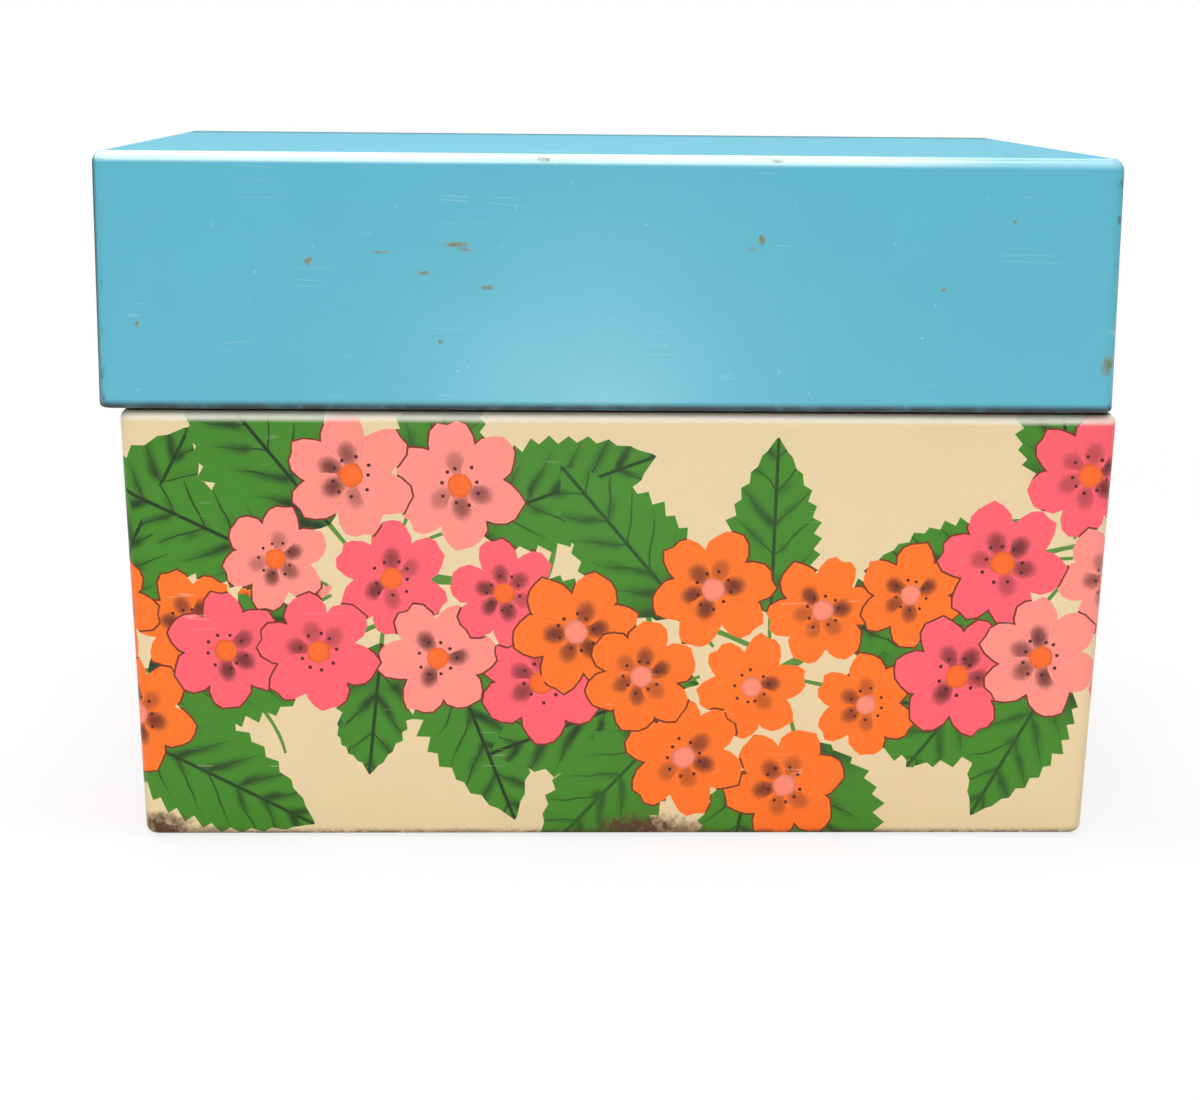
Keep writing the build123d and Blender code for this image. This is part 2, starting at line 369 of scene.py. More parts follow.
@dataclass(frozen=True)
class Motif:
    """One inked shape, and the frame that its shading follows."""

    outline: tuple[Point, ...]
    ink: Ink
    kind: Kind
    base: Point = (0.0, 0.0)
    turn: float = 0.0
    scale: float = 1.0
    depth: float = 1.0

    def local(self, point: Point) -> Point:
        """A point of the sheet in the motif's own frame.

        Args:
            point: the point on the sheet.

        Returns:
            The same point, along and across the motif.
        """
        across, up = point[0] - self.base[0], point[1] - self.base[1]
        cos, sin = math.cos(self.turn), math.sin(self.turn)
        return (across * cos + up * sin) / self.scale, (up * cos - across * sin) / self.scale


def placed(outline: Sequence[Point], base: Point, turn: float) -> tuple[Point, ...]:
    """An outline turned and moved to its place on the sheet.

    Args:
        outline: the points in the shape's own frame.
        base: where its origin goes.
        turn: how far it is turned, in radians.

    Returns:
        The placed points.
    """
    cos, sin = math.cos(turn), math.sin(turn)
    return tuple((base[0] + x * cos - y * sin, base[1] + x * sin + y * cos) for x, y in outline)


@dataclass(frozen=True)
class Blossom:
    """A round flower of six petals about a button, with a ring of dots."""

    centre: Point
    radius: float
    turn: float
    petal: Ink
    button: Ink
    petals: int = 6
    steps: int = 15
    line: float = 0.28
    petal_long: float = 0.455
    petal_wide: float = 0.345
    petal_middle: float = 0.555
    button_share: float = 0.19
    dots: int = 9
    dot_reach: Point = (0.25, 0.33)
    dot_share: float = 0.032

    def _petal(self, dice: random.Random, grow: float, wobble: tuple[float, float]) -> list[Point]:
        """One petal along +x.

        Args:
            dice: the seeded source of small differences.
            grow: how far the outline stands outside the petal.
            wobble: phases of the wavy edge.

        Returns:
            Its outline.
        """
        long = self.radius * self.petal_long + grow
        wide = self.radius * self.petal_wide + grow
        middle = self.radius * self.petal_middle
        points = []
        for step in range(self.steps):
            angle = 2 * math.pi * step / self.steps
            wave = 1 + 0.045 * math.sin(3 * angle + wobble[0]) + 0.035 * math.sin(5 * angle + wobble[1])
            notch = 0.13 * math.exp(-((math.remainder(angle, 2 * math.pi) / 0.3) ** 2))
            taper = 1 - 0.3 * max(0.0, -math.cos(angle))
            points.append((middle + long * (wave - notch) * math.cos(angle),
                           wide * wave * taper * math.sin(angle)))
        return points

    def motifs(self, dice: random.Random) -> list[Motif]:
        """The flower's shapes, lowest first.

        Args:
            dice: the seeded source of small differences.

        Returns:
            Outlines, petals, button and dots.
        """
        lines, petals, tops = [], [], []
        for number in range(self.petals):
            turn = self.turn + 2 * math.pi * (number + dice.uniform(-0.07, 0.07)) / self.petals
            wobble = (dice.uniform(0, 6.28), dice.uniform(0, 6.28))
            depth = dice.choice((0.0, 0.55, 0.85, 1.0))
            frame_of = {"base": self.centre, "turn": turn, "scale": self.radius}
            under = placed(self._petal(dice, self.line, wobble), self.centre, turn)
            lines.append(Motif(under, Ink.OVERPRINT, Kind.OUTLINE))
            over = placed(self._petal(dice, 0.0, wobble), self.centre, turn)
            petals.append(Motif(over, self.petal, Kind.PETAL, depth=depth, **frame_of))
        button = self.radius * self.button_share
        tops.append(self._round(self.centre, button, self.button, Kind.BUTTON, 12, dice))
        for number in range(self.dots):
            angle = self.turn + 2 * math.pi * (number + dice.uniform(-0.2, 0.2)) / self.dots
            reach = self.radius * dice.uniform(*self.dot_reach)
            spot = (self.centre[0] + reach * math.cos(angle), self.centre[1] + reach * math.sin(angle))
            dot = self.radius * self.dot_share
            tops.append(self._round(spot, dot, Ink.PLUM, Kind.LINE, 6, dice))
        return lines + petals + tops

    @staticmethod
    def _round(centre: Point, radius: float, ink: Ink, kind: Kind, steps: int,
               dice: random.Random) -> Motif:
        """A slightly uneven dot.

        Args:
            centre: its middle.
            radius: its radius.
            ink: its colour.
            kind: what it is.
            steps: how many corners its outline has.
            dice: the seeded source of small differences.

        Returns:
            The dot.
        """
        points = []
        for step in range(steps):
            angle = 2 * math.pi * step / steps
            reach = radius * dice.uniform(0.9, 1.08)
            points.append((centre[0] + reach * math.cos(angle), centre[1] + reach * math.sin(angle)))
        return Motif(tuple(points), ink, kind, centre, 0.0, radius)


@dataclass(frozen=True)
class Leaf:
    """A toothed leaf with a midrib along +x."""

    base: Point
    turn: float
    length: float
    width: float
    teeth: int = 9

    def motifs(self, dice: random.Random) -> list[Motif]:
        """The leaf's shapes, lowest first.

        Args:
            dice: the seeded source of small differences.

        Returns:
            The stalk and the blade.
        """
        upper, lower = [], []
        for tooth in range(self.teeth):
            for share, out in ((tooth + 0.15, 0.90), (tooth + 0.85, 1.07)):
                place = share / self.teeth
                half = self.width / 2 * math.sin(math.pi * place ** 0.78) ** 0.85
                upper.append((place * self.length, half * out * dice.uniform(0.96, 1.04)))
                lower.append((place * self.length * 0.99, -half * out * dice.uniform(0.92, 1.0)))
        blade = [(0.0, 0.0), *lower, (self.length, 0.0), *reversed(upper)]
        stalk = [(-self.length * 0.22, -0.22), (1.0, -0.35), (1.0, 0.35), (-self.length * 0.22, 0.22)]
        shape = placed(blade, self.base, self.turn)
        depth = dice.uniform(0.7, 1.0)
        return [
            Motif(placed(stalk, self.base, self.turn), Ink.STEM, Kind.LINE),
            Motif(shape, Ink.GREEN, Kind.LEAF, self.base, self.turn, 1.0, depth),
        ]


@dataclass(frozen=True)
class Tendril:
    """A thin stem that follows a curve and may curl at its end."""

    start: Point
    heading: float
    length: float
    curl: float
    width: float = 0.8
    steps: int = 14

    def path(self) -> list[tuple[Point, float]]:
        """Points along the stem, each with its heading.

        Returns:
            The points, from the thick end.
        """
        here, heading = self.start, self.heading
        trail = [(here, heading)]
        for step in range(self.steps):
            stride = self.length / self.steps
            heading += self.curl * (0.3 + 1.7 * (step / self.steps) ** 2) / self.steps
            here = (here[0] + stride * math.cos(heading), here[1] + stride * math.sin(heading))
            trail.append((here, heading))
        return trail

    def motifs(self, dice: random.Random) -> list[Motif]:
        """The stem as one shape.

        Args:
            dice: the seeded source of small differences.

        Returns:
            The shape.
        """
        left, right = [], []
        for step, ((x, y), heading) in enumerate(self.path()):
            half = self.width / 2 * (1 - 0.6 * step / self.steps) * dice.uniform(0.85, 1.15)
            left.append((x - half * math.sin(heading), y + half * math.cos(heading)))
            right.append((x + half * math.sin(heading), y - half * math.cos(heading)))
        return [Motif(tuple(right + left[::-1]), Ink.STEM, Kind.LINE)]


@dataclass(frozen=True)
class Garland:
    """The flower print: bouquets along a waving stem, all the way round the body."""

    round_length: float
    low: float
    high: float
    bouquets: int = 9
    first: float = -32.0
    wave: float = 8.0
    leaf_count: int = 8
    seed: int = 38
    stem_steps: int = 18
    stem_width: float = 1.5
    shoots: tuple[tuple[float, int], ...] = ((0.42, 1), (0.5, -1), (0.62, 1), (0.7, -1))
    shoot_length: Point = (11.0, 17.0)
    shoot_width: float = 0.9
    bud: tuple[Point, ...] = ((0, 0), (1.0, -1.1), (2.6, -1.2), (4.0, 0), (2.6, 1.2), (1.0, 1.1))
    small_leaf: Point = (8.0, 11.0)
    leaf_length: Point = (23.0, 32.0)
    leaf_reach: Point = (10.0, 15.0)
    ring_across: Point = (14.5, 16.5)
    ring_up: Point = (13.5, 15.5)
    straggler: Point = (24.0, 27.0)
    flower_radius: Point = (7.6, 9.3)

    def bouquet_place(self, number: int) -> Point:
        """The middle of a bouquet on the sheet.

        Args:
            number: which bouquet, counted from 0 round the body.

        Returns:
            How far round the sheet it stands, and how high.
        """
        middle = (self.low + self.high) / 2
        rise = self.wave if number % 2 == 0 else -self.wave
        return self.first + number * self.round_length / self.bouquets, middle + rise

    def motifs(self) -> list[Motif]:
        """Everything that is printed, lowest first.

        Returns:
            The shapes in the order that the inks cover each other.
        """
        dice = random.Random(self.seed)
        stems: list[Motif] = []
        leaves: list[Motif] = []
        flowers: list[Motif] = []
        for number in range(-1, self.bouquets + 1):
            centre = self.bouquet_place(number)
            self._stem(centre, self.bouquet_place(number + 1), stems, leaves, dice)
            self._leaves(centre, leaves, dice)
            self._flowers(centre, number % 2 == 0, flowers, dice)
        return stems + leaves + flowers

    def _stem(self, start: Point, end: Point, stems: list[Motif], leaves: list[Motif],
              dice: random.Random) -> None:
        """Lay the stem from one bouquet to the next, with side shoots.

        Args:
            start: where it leaves a bouquet.
            end: where it meets the next.
            stems: stems so far.
            leaves: leaves so far.
            dice: the seeded source of small differences.
        """
        heading = math.atan2(end[1] - start[1], end[0] - start[0])
        span = math.dist(start, end)
        bow = dice.choice((-0.5, 0.5))
        main = Tendril(start, heading - bow / 2, span * 1.02, bow, self.stem_width, self.stem_steps)
        stems.extend(main.motifs(dice))
        for share, side in self.shoots:
            place, along = main.path()[int(share * self.stem_steps)]
            shoot = Tendril(place, along + side * dice.uniform(0.8, 1.3), dice.uniform(*self.shoot_length),
                            side * dice.uniform(-3.2, 2.4), self.shoot_width)
            stems.extend(shoot.motifs(dice))
            tip, tip_heading = shoot.path()[-1]
            if dice.random() < 0.55:
                ink = dice.choice((Ink.CORAL, Ink.ORANGE, Ink.SALMON))
                bud = placed(self.bud, tip, tip_heading)
                leaves.append(Motif(bud, ink, Kind.PETAL, tip, tip_heading, 4.0, 0.8))
            elif dice.random() < 0.6:
                leaf = Leaf(tip, tip_heading, dice.uniform(*self.small_leaf), 5.0, 6)
                leaves.extend(leaf.motifs(dice))

    def _leaves(self, centre: Point, leaves: list[Motif], dice: random.Random) -> None:
        """Fan leaves out from under a bouquet.

        Args:
            centre: the bouquet's middle.
            leaves: leaves so far.
            dice: the seeded source of small differences.
        """
        start = dice.uniform(0, 1)
        for number in range(self.leaf_count):
            angle = 2 * math.pi * (number + start + dice.uniform(-0.18, 0.18)) / self.leaf_count
            length = dice.uniform(*self.leaf_length) * (1.0 if abs(math.cos(angle)) > 0.5 else 0.8)
            reach = dice.uniform(*self.leaf_reach)
            base = (centre[0] + reach * 1.15 * math.cos(angle), centre[1] + reach * 0.9 * math.sin(angle))
            turn = angle + dice.uniform(-0.4, 0.4)
            leaves.extend(Leaf(base, turn, length, length * dice.uniform(0.52, 0.66), 11).motifs(dice))

    def _flowers(self, centre: Point, pinks: bool, flowers: list[Motif], dice: random.Random) -> None:
        """Group the flowers of a bouquet: one in the middle, a ring, and some stragglers.

        Args:
            centre: the bouquet's middle.
            pinks: pink flowers rather than orange ones.
            flowers: flowers so far.
            dice: the seeded source of small differences.
        """
        spots = [(0.0, 0.0)]
        start = dice.uniform(0, 1)
        for number in range(6):
            angle = 2 * math.pi * (number + start + dice.uniform(-0.12, 0.12)) / 6
            spots.append((dice.uniform(*self.ring_across) * math.cos(angle),
                          dice.uniform(*self.ring_up) * math.sin(angle)))
        drop = 1 if pinks else -1
        for hand in (-1, 1):
            angle = dice.uniform(0.15, 0.6) * hand * drop
            spots.append((hand * dice.uniform(*self.straggler) * math.cos(angle),
                          -26 * math.sin(abs(angle)) * drop))
        dice.shuffle(spots)
        for across, up in spots:
            place = (centre[0] + across + dice.uniform(-0.8, 0.8), centre[1] + up + dice.uniform(-0.8, 0.8))
            if pinks:
                petal = dice.choice((Ink.CORAL, Ink.CORAL, Ink.SALMON))
                button = Ink.BUTTON_ORANGE
            else:
                petal, button = Ink.ORANGE, Ink.BUTTON_PINK
            radius = dice.uniform(*self.flower_radius)
            flowers.extend(Blossom(place, radius, dice.uniform(0, 6.28), petal, button).motifs(dice))


# ---------------------------------------------------------------- folded sheet
class Side(IntEnum):
    """Which side of the tinplate a face is on, as its material slot."""

    OUTSIDE = 0
    INSIDE = 1


@dataclass(frozen=True)
class Level:
    """A point of a folded sheet's section, and the way that the surface faces there."""

    reach: float
    height: float
    corner: float
    tilt: float


@dataclass(frozen=True)
class Band:
    """A strip of the sheet between two levels."""

    start: Level
    end: Level
    low: float
    high: float
    side: Side
    bend: bool

    def at(self, run: float) -> Level:
        """The level at a distance along the section.

        Args:
            run: millimetres along the section.

        Returns:
            The level there.
        """
        share = (run - self.low) / (self.high - self.low)
        one, two = self.start, self.end
        return Level(*(a + (b - a) * share for a, b in (
            (one.reach, two.reach), (one.height, two.height),
            (one.corner, two.corner), (one.tilt, two.tilt))))


class Section:
    """The section of a folded sheet, drawn band by band with the metal on its left."""

    def __init__(self, reach: float, height: float, corner: float) -> None:
        """Start the section at a point.

        Args:
            reach: how far the surface is from the middle, along X.
            height: its height.
            corner: how far the middle of the upright corner's round is from the middle, along X.
        """
        self.here = (reach, height, corner)
        self.bands: list[Band] = []
        self.run = 0.0
        self.side = Side.OUTSIDE

    def _add(self, start: tuple[float, float, float], end: tuple[float, float, float],
             tilts: tuple[float, float], bend: bool) -> None:
        """Add a band between two points.

        Args:
            start: its first reach, height and corner.
            end: its last.
            tilts: the tilt of the surface at each.
            bend: whether it is part of a bend.
        """
        length = math.dist(start[:2], end[:2])
        band = Band(Level(*start, tilts[0]), Level(*end, tilts[1]), self.run, self.run + length,
                    self.side, bend)
        self.bands.append(band)
        self.run += length
        self.here = end

    def straight(self, reach: float, height: float, corner: float) -> None:
        """Go straight to a point.

        Args:
            reach: the point's reach.
            height: its height.
            corner: the middle of the corner's round there.
        """
        tilt = math.atan2(self.here[0] - reach, height - self.here[1])
        self._add(self.here, (reach, height, corner), (tilt, tilt), False)

    def arc(self, centre: Point, radius: float, start: float, end: float, steps: int,
            corner: Callable[[float], float]) -> None:
        """Follow a bend.

        Args:
            centre: its middle.
            radius: its radius.
            start: the angle where it starts, in degrees above level.
            end: the angle where it ends.
            steps: how many strips it has.
            corner: the middle of the upright corner's round at a height.
        """
        flip = 0.0 if end > start else math.pi
        for step in range(steps):
            angles = [math.radians(start + (end - start) * (step + more) / steps) for more in (0, 1)]
            points = [(centre[0] + radius * math.cos(a), centre[1] + radius * math.sin(a)) for a in angles]
            first, last = ((*p, corner(p[1])) for p in points)
            self._add(first, last, (angles[0] + flip, angles[1] + flip), True)

    def edge(self, reach: float, height: float, corner: float) -> None:
        """Cross the cut edge of the sheet, after which the inside begins."""
        self.straight(reach, height, corner)
        self.side = Side.INSIDE

    def cross_over(self, height: float) -> None:
        """Go straight through the sheet to its inside, with no band."""
        self.here = (self.here[0], height, self.here[2])
        self.side = Side.INSIDE

    def band_at(self, run: float) -> Band:
        """The band that holds a distance along the section."""
        return next((band for band in self.bands if run <= band.high), self.bands[-1])


@dataclass(frozen=True)
class Ring:
    """The way round a box with rounded corners, measured from the middle of the front."""

    front: float
    arc: float
    side: float
    narrower: float
    centre: Point = (0.0, 0.0)

    @property
    def whole(self) -> float:
        """The length all the way round."""
        return 4 * (self.front + self.arc + self.side)

    @property
    def half_way(self) -> float:
        """From the middle of the front to the middle of a side."""
        return self.whole / 4

    def at(self, along: float, level: Level) -> tuple[Vector, Vector]:
        """Where a point of the sheet is, and the way that it faces.

        Args:
            along: millimetres round from the middle of the front, to the right.
            level: its level in the section.

        Returns:
            The point in metres and the normal.
        """
        along = math.remainder(along, self.whole)
        hand = -1.0 if along < 0 else 1.0
        rest = abs(along)
        far, near = level.corner, level.corner - self.narrower
        radius = level.reach - level.corner
        if rest <= self.front:
            spot, facing = (far * rest / self.front, -near), -90.0
        elif rest <= self.front + self.arc:
            spot, facing = (far, -near), -90.0 + 90.0 * (rest - self.front) / self.arc
        elif rest <= self.front + self.arc + 2 * self.side:
            share = (rest - self.front - self.arc) / self.side - 1
            spot, facing = (far, near * share), 0.0
        elif rest <= self.front + 2 * self.arc + 2 * self.side:
            spot = (far, near)
            facing = 90.0 * (rest - self.front - self.arc - 2 * self.side) / self.arc
        else:
            share = (self.whole / 2 - rest) / self.front
            spot, facing = (far * share, near), 90.0
        cos, sin = math.cos(math.radians(facing)), math.sin(math.radians(facing))
        point = Vector((hand * (spot[0] + radius * cos) + self.centre[0],
                        spot[1] + radius * sin + self.centre[1], level.height))
        level_part = math.cos(level.tilt)
        return point * MM, Vector((hand * cos * level_part, sin * level_part, math.sin(level.tilt)))

    def corner_lines(self, steps: int) -> list[float]:
        """Where the upright corners are divided, all the way round.

        Args:
            steps: how many strips each corner has.

        Returns:
            Distances from the middle of the front.
        """
        starts = (self.front, self.front + self.arc + 2 * self.side)
        right = [start + self.arc * step / steps for start in starts for step in range(steps + 1)]
        return sorted(right + [self.whole - line for line in right])


@dataclass(frozen=True)
class Corner:
    """What a face holds at one of its corners."""

    point: Vector
    normal: Vector
    bake: Point
    ink: Colour = Ink.CREAM.value
    trace: tuple[float, float, float] = (0.0, 0.0, float(Kind.GROUND))


@dataclass
class MeshMaker:
    """Gathers faces, and makes a mesh whose corners carry ink, traces and a bake map."""

    faces: list[tuple[list[Corner], Side]] = field(default_factory=list)
    plate_bake: float = 0.02

    def add(self, corners: list[Corner], side: Side) -> None:
        """Add a face."""
        self.faces.append((corners, side))

    def plate(self, outline: Sequence[Vector], thickness: Vector, bake: Point) -> None:
        """Add a flat plate of bare metal.

        Args:
            outline: its corners, in metres, anticlockwise seen from where thickness points.
            thickness: from that face to the other one.
            bake: where it goes on the baked picture.
        """
        facing = thickness.normalized()
        back = [point + thickness for point in outline]
        quads = [([*outline][::-1], -facing), (back, facing)]
        for first, point in enumerate(outline):
            last = (first + 1) % len(outline)
            out = (outline[last] - point).cross(facing).normalized()
            quads.append(([point, outline[last], back[last], back[first]], out))
        spread = self.plate_bake / len(quads)
        for number, (points, normal) in enumerate(quads):
            corners = []
            for place, point in enumerate(points):
                angle = 2 * math.pi * place / len(points)
                spot = (bake[0] + number * spread + spread * 0.4 * math.cos(angle),
                        bake[1] + spread * 0.4 * math.sin(angle))
                corners.append(Corner(point, normal, spot))
            self.add(corners, Side.INSIDE)

    def made(self, name: str, materials: Sequence[bpy.types.Material]) -> bpy.types.Object:
        """Weld the faces to one mesh.

        Args:
            name: the piece's name.
            materials: the material of each side.

        Returns:
            The object, in the scene.
        """
        places: dict[tuple[int, int, int], int] = {}
        points: list[Vector] = []
        kept: list[tuple[list[Corner], Side, list[int]]] = []
        for corners, side in self.faces:
            numbers = []
            for corner in corners:
                key = tuple(round(value / MM * WELD_STEPS) for value in corner.point)
                if key not in places:
                    places[key] = len(points)
                    points.append(corner.point)
                numbers.append(places[key])
            if len(set(numbers)) == len(numbers):
                kept.append((corners, side, numbers))
        mesh = bpy.data.meshes.new(name)
        mesh.from_pydata(points, [], [numbers for _, _, numbers in kept])
        for material in materials:
            mesh.materials.append(material)
        mesh.polygons.foreach_set("material_index", [int(side) for _, side, _ in kept])
        mesh.polygons.foreach_set("use_smooth", [True] * len(kept))
        flat = [corner for corners, _, _ in kept for corner in corners]
        bake = mesh.uv_layers.new(name="OFBake")
        bake.data.foreach_set("uv", [value for corner in flat for value in corner.bake])
        ink = mesh.attributes.new("ink", "FLOAT_COLOR", "CORNER")
        ink.data.foreach_set("color", [value for corner in flat for value in corner.ink])
        trace = mesh.attributes.new("trace", "FLOAT_VECTOR", "CORNER")
        trace.data.foreach_set("vector", [value for corner in flat for value in corner.trace])
        mesh.normals_split_custom_set([corner.normal for corner in flat])
        made = bpy.data.objects.new(name, mesh)
        bpy.context.scene.collection.objects.link(made)
        return made


# ---------------------------------------------------------------- finishes
@dataclass(frozen=True)
class RustSpot:
    """A stain or speck, by its place in the front view."""

    x: float
    z: float
    wide: float
    high: float
    strength: float = 1.0


@dataclass(frozen=True)
class PrintFinish:
    """Inks on a cream ground under a clear varnish with wear, a painted highlight on the shoulder and painted
    shade under the lid.
    """

    smudge: Colour = paint(86, 22, 10)
    leaf_dark: Colour = paint(12, 40, 6)
    # Pale colour painted as a highlight along the shoulder's bend.
    thin: Colour = paint(255, 252, 236)
    rust: Colour = paint(92, 60, 38)
    # Near-black colour painted as shade on the shoulder under the lid's edge.
    under_lid_shade: Colour = paint(26, 20, 15)
    foot_height: float = 1.3
    stains: tuple[RustSpot, ...] = (
        RustSpot(-64.5, 0.8, 6.0, 3.4), RustSpot(-58.0, 0.2, 6.0, 1.6, 0.6),
        RustSpot(3.5, 0.6, 9.0, 3.2), RustSpot(9.5, 0.3, 5.0, 2.2, 0.8),
        RustSpot(-22.0, 0.0, 8.0, 1.2, 0.5), RustSpot(40.0, 0.0, 10.0, 1.1, 0.4),
    )

    def material(self) -> bpy.types.Material:
        """Build the material.

        Returns:
            The material, which reads the mesh's ink and trace.
        """
        graph = Graph("printed_tinplate")
        ink = graph.node("ShaderNodeAttribute", {"attribute_name": "ink"})
        trace = graph.node("ShaderNodeAttribute", {"attribute_name": "trace"})
        parts = graph.node("ShaderNodeSeparateXYZ", {}, {0: trace.outputs["Vector"]})
        along, across, kind = (Wire(graph, out) for out in parts.outputs)
        depth = Wire(graph, ink.outputs["Alpha"])
        fine = graph.noise(0.45, 2.0)
        broad = graph.noise(8.0, 2.0)
        colour = ink.outputs["Color"]
        petal = self._petal_shade(graph, along, across, kind, depth, fine)
        colour = graph.mixed(petal, colour, self.smudge)
        colour = graph.mixed(self._leaf_shade(graph, along, across, kind, depth), colour, self.leaf_dark)
        colour = graph.toned(colour, 0.95 + 0.05 * broad + 0.04 * fine)
        rust = self._rust(graph)
        marks = graph.scratches(2.4, 0.5, 0.010)
        colour = graph.mixed(marks * 0.2, colour, paint(248, 240, 220))
        # Painted highlight: a pale band on the shoulder's bend, standing in for the light it catches.
        shoulder = graph.z.ramp(58.95, 59.8) * graph.z.ramp(61.2, 60.9)
        colour = graph.mixed(shoulder * (0.6 + 0.3 * broad), colour, self.thin)
        colour = graph.mixed(rust, colour, self.rust)
        colour = graph.mixed(self._seam(graph), colour, self.rust)
        # Painted shade: a near-black band on the shoulder under the lid's edge, where the lid shades it.
        under = graph.z.ramp(60.45, 60.62) * graph.z.ramp(62.2, 61.2)
        colour = graph.mixed(under * 0.96, colour, self.under_lid_shade)
        rough = 0.32 + 0.14 * broad + 0.35 * rust
        waves = graph.bumped(graph.noise(26.0, 0.0), 0.35)
        normal = graph.node("ShaderNodeBump", {}, {
            "Height": fine, "Distance": 0.008 * MM, "Strength": 1.0, "Normal": waves}).outputs[0]
        return graph.finish(Base_Color=colour, Roughness=rough, Normal=normal, Specular_IOR_Level=0.35)

    def _seam(self, graph: Graph) -> Wire:
        """The fine dark line of the lock seam, down the middle of the back."""
        return abs(graph.x).ramp(0.16, 0.06) * graph.y.ramp(40.0, 43.0) * graph.z.ramp(61.0, 60.0) * 0.8

    def _petal_shade(self, graph: Graph, along: Wire, across: Wire, kind: Wire, depth: Wire,
                     fine: Wire) -> Wire:
        """The soft dark smudge and fine streaks at the foot of a petal, and round a button's rim.

        Args:
            graph: the material's graph.
            along: the place along the petal.
            across: the place across it.
            kind: what the shape is.
            depth: how strong this petal's smudge is.
            fine: fine noise, which breaks up the smudge's edge.

        Returns:
            How much of the smudge colour shows.
        """
        on_petal = graph.maths("COMPARE", kind, float(Kind.PETAL), 0.1)
        on_button = graph.maths("COMPARE", kind, float(Kind.BUTTON), 0.1)
        far = ((along - 0.33) / 0.19) ** 2 + (across / 0.15) ** 2 + fine * 0.5
        smudge = far.ramp(1.9, 0.1)
        streaks = (abs(across) * 62.0 / (0.35 + along)).sine().ramp(0.72, 1.0) * along.ramp(0.62, 0.25)
        rim = (along ** 2 + across ** 2).ramp(0.35, 1.2) * 0.35
        return (on_petal * depth * (smudge * 0.92).most(streaks * 0.3)).most(on_button * rim)

    def _leaf_shade(self, graph: Graph, along: Wire, across: Wire, kind: Wire, depth: Wire) -> Wire:
        """The veins of a leaf and the dark airbrushed shade along them.

        Args:
            graph: the material's graph.
            along: millimetres along the midrib.
            across: millimetres to its side.
            kind: what the shape is.
            depth: how strong this leaf's shade is.

        Returns:
            How much of the dark green shows.
        """
        on_leaf = graph.maths("COMPARE", kind, float(Kind.LEAF), 0.1)
        side = abs(across)
        cloud = graph.noise(4.5, 1.0)
        shift = (along - side * 1.05 + cloud * 2.2) / 4.6
        between = abs(shift.fraction() - 0.5)
        veins = between.ramp(0.44, 0.475) * side.ramp(7.0, 3.0)
        midrib = side.ramp(0.34, 0.16)
        shade = between.ramp(0.12, 0.5) * side.ramp(6.0, 1.0) * 0.95
        shade = (shade + along.ramp(9.0, 1.0)) * (cloud + across * 0.04).ramp(0.34, 0.62)
        return on_leaf * depth * (veins * 0.85).most(midrib).most(shade.least(0.96))

    def _rust(self, graph: Graph) -> Wire:
        """Rust along the foot and in stains.

        Args:
            graph: the material's graph.

        Returns:
            How much rust shows.
        """
        rough = graph.noise(1.1, 3.0, roughness=0.65)
        foot = graph.z.ramp(self.foot_height, 0.0) * rough.ramp(0.30, 0.62) * 0.85
        front = graph.y.ramp(-43.0, -45.0)
        total = foot
        for stain in self.stains:
            far = ((graph.x - stain.x) / stain.wide) ** 2 + ((graph.z - stain.z) / stain.high) ** 2
            total = total.most((far + rough * 1.6).ramp(1.75, 0.75) * front * stain.strength)
        return total


